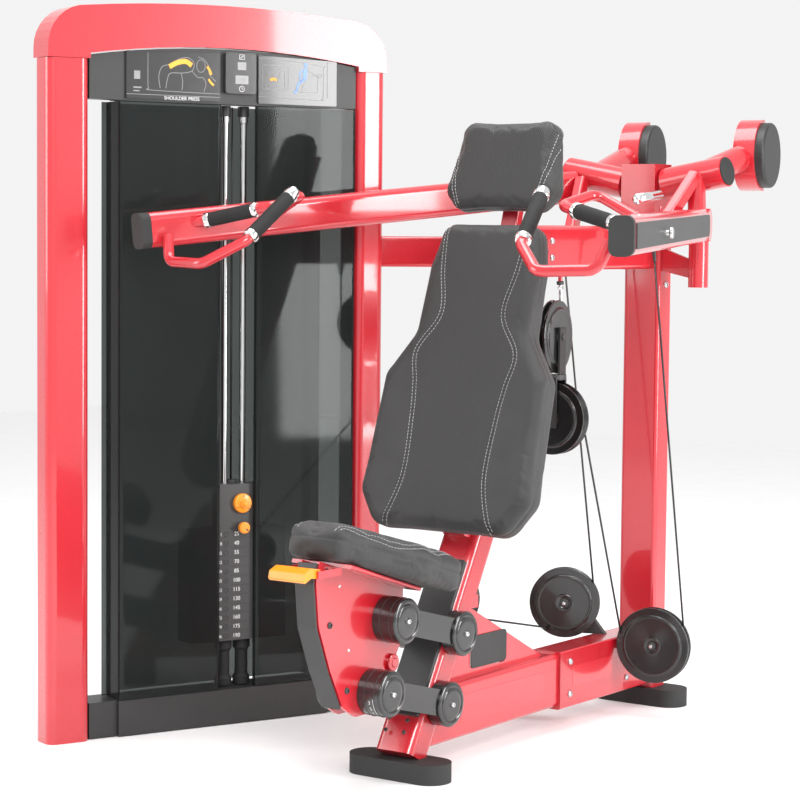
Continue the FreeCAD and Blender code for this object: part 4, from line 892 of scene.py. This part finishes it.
shackle("left_rope_end", LUG_L + V((0, 0, 0.002)), V((0.10, 0.03, -1)), "press_arm_left", STEEL)
shackle("right_rope_end", LUG_R + V((0, 0, 0.002)), V((0.05, 0.0, -1)), "press_arm_right", CHROME)
shackle("anchor_rope_end", V((0, 0.735, 1.232)), V((0, 0.1, -1)), "frame", CHROME)
lathe("gland_collar", [(0.0031, 0), (0.0075, 0), (0.0075, 0.016), (0.012, 0.018), (0.012, 0.024),
                       (0.0031, 0.024)],
      (0, 0.621, 1.236), UP, STEEL, "frame", n=32)

# ---------------------------------------------------------------- press arms
for sgn, nm in ((1, "left"), (-1, "right")):
    body = "press_arm_" + nm
    m = lambda x, y, z: V((sgn * x, y, z))
    for tag, p, q, off, ln in (("b", m(0.413, -0.114, 1.340), m(0.377, 0.038, 1.468), 0.026, 0.150),
                               ("a", m(0.664, -0.046, 1.380), m(0.432, 0.030, 1.432), 0.062, 0.122)):
        d = (q - p).normalized()
        a = p + d * off
        b = a + d * ln
        lathe("grip_%s_low_%s" % (tag, nm),
              [(0.0140, -0.016), (0.0175, -0.016), (0.0205, -0.012), (0.0205, -0.002),
                                             (0.0195, 0.001), (0.0140, 0.001)], a, d, CHROME, body, n=48)
        lathe("grip_%s_high_%s" % (tag, nm),
              [(0.0140, -0.001), (0.0195, -0.001), (0.0205, 0.002), (0.0205, 0.010),
                                              (0.0175, 0.014), (0.0140, 0.014)], b, d, CHROME, body, n=48)
        if tag == "b":
            lathe("grip_b_end_" + nm,
                  [(0, 0.0305), (0.010, 0.0300), (0.0150, 0.0275), (0.0170, 0.0230), (0.0172, 0.013),
                                       (0.014, 0.012)], b, d, CHROME, body, n=48)
        for k in range(3):
            c = a + d * (ln * (0.2 + 0.3 * k))
            lathe("grip_%s_ring_%d_%s" % (tag, k, nm),
                  [(0.0190, -0.0012), (0.0194, -0.0006), (0.0194, 0.0006),
                                                        (0.0190, 0.0012)], c, d, GRIP, body, n=48)
# chrome rod from the near arm towards its knob
tube("arm_left_rod", [V((0.486, 0.300, 1.452)), V((0.400, 0.560, 1.466))], 0.0125, CHROME,
     "press_arm_left", n=32)

# ---------------------------------------------------------------- studio
floor = mesh_obj("floor", [(-9, -9, 0), (9, -9, 0), (9, 9, 0), (-9, 9, 0)], [(0, 1, 2, 3)],
                 surface("floor_white", grey(0.90), grey(0.93), (0.5, 0.6), grain=30, bump=0.0))
world = bpy.context.scene.world or bpy.data.worlds.new("world")
bpy.context.scene.world = world
world.use_nodes = True
bg = world.node_tree.nodes["Background"]
bg.inputs[0].default_value = (1, 1, 1, 1)
bg.inputs[1].default_value = 0.9


def area(name, loc, target, size, power, shape=(1, 1)):
    d = bpy.data.lights.new(name, "AREA")
    d.shape, d.size, d.size_y, d.energy = "RECTANGLE", size * shape[0], size * shape[1], power
    o = bpy.data.objects.new(name, d)
    bpy.context.scene.collection.objects.link(o)
    o.location = loc
    o.rotation_euler = (V(target) - V(loc)).to_track_quat("-Z", "Y").to_euler()
    return o


area("key", (4.5, -4.5, 4.5), (-0.3, 0.4, 0.9), 2.5, 330)
area("fill", (-4.5, -4.0, 2.5), (-0.5, 0.3, 0.9), 3.0, 130)
area("strip_right", (3.2, 1.2, 1.6), (-0.2, 0.4, 0.9), 0.8, 90, (1, 3))
area("top", (0, 0.2, 4.8), (-0.2, 0.4, 0), 3.0, 160)

CAMERA_AT, LENS, SENSOR = (3.40266, -4.80297, 1.373215), 106.73, 36.0
YAW, PITCHA, ROLL = math.radians(54.5988), math.radians(4.124129), math.radians(0.536413)
D0, R0, U0 = V((-math.cos(YAW), math.sin(YAW), 0)), V((math.sin(YAW), math.cos(YAW), 0)), V((0, 0, 1))
DIR = D0 * math.cos(PITCHA) - U0 * math.sin(PITCHA)
UPC = D0 * math.sin(PITCHA) + U0 * math.cos(PITCHA)
RIGHT = R0 * math.cos(ROLL) + UPC * math.sin(ROLL)
UPC = UPC * math.cos(ROLL) - R0 * math.sin(ROLL)
cam_data = bpy.data.cameras.new("camera")
cam_data.lens, cam_data.sensor_width, cam_data.dof.use_dof = LENS, SENSOR, False
cam = bpy.data.objects.new("camera", cam_data)
bpy.context.scene.collection.objects.link(cam)
mat = Matrix((RIGHT, UPC, -DIR)).transposed().to_4x4()
mat.translation = V(CAMERA_AT)
cam.matrix_world = mat
bpy.context.scene.camera = cam
sc = bpy.context.scene
sc.render.resolution_x = sc.render.resolution_y = 800
sc.render.resolution_percentage = 100
sc.view_settings.view_transform = "Standard"
sc.view_settings.look = "None"
sc.view_settings.exposure = 0.0

round_edges()
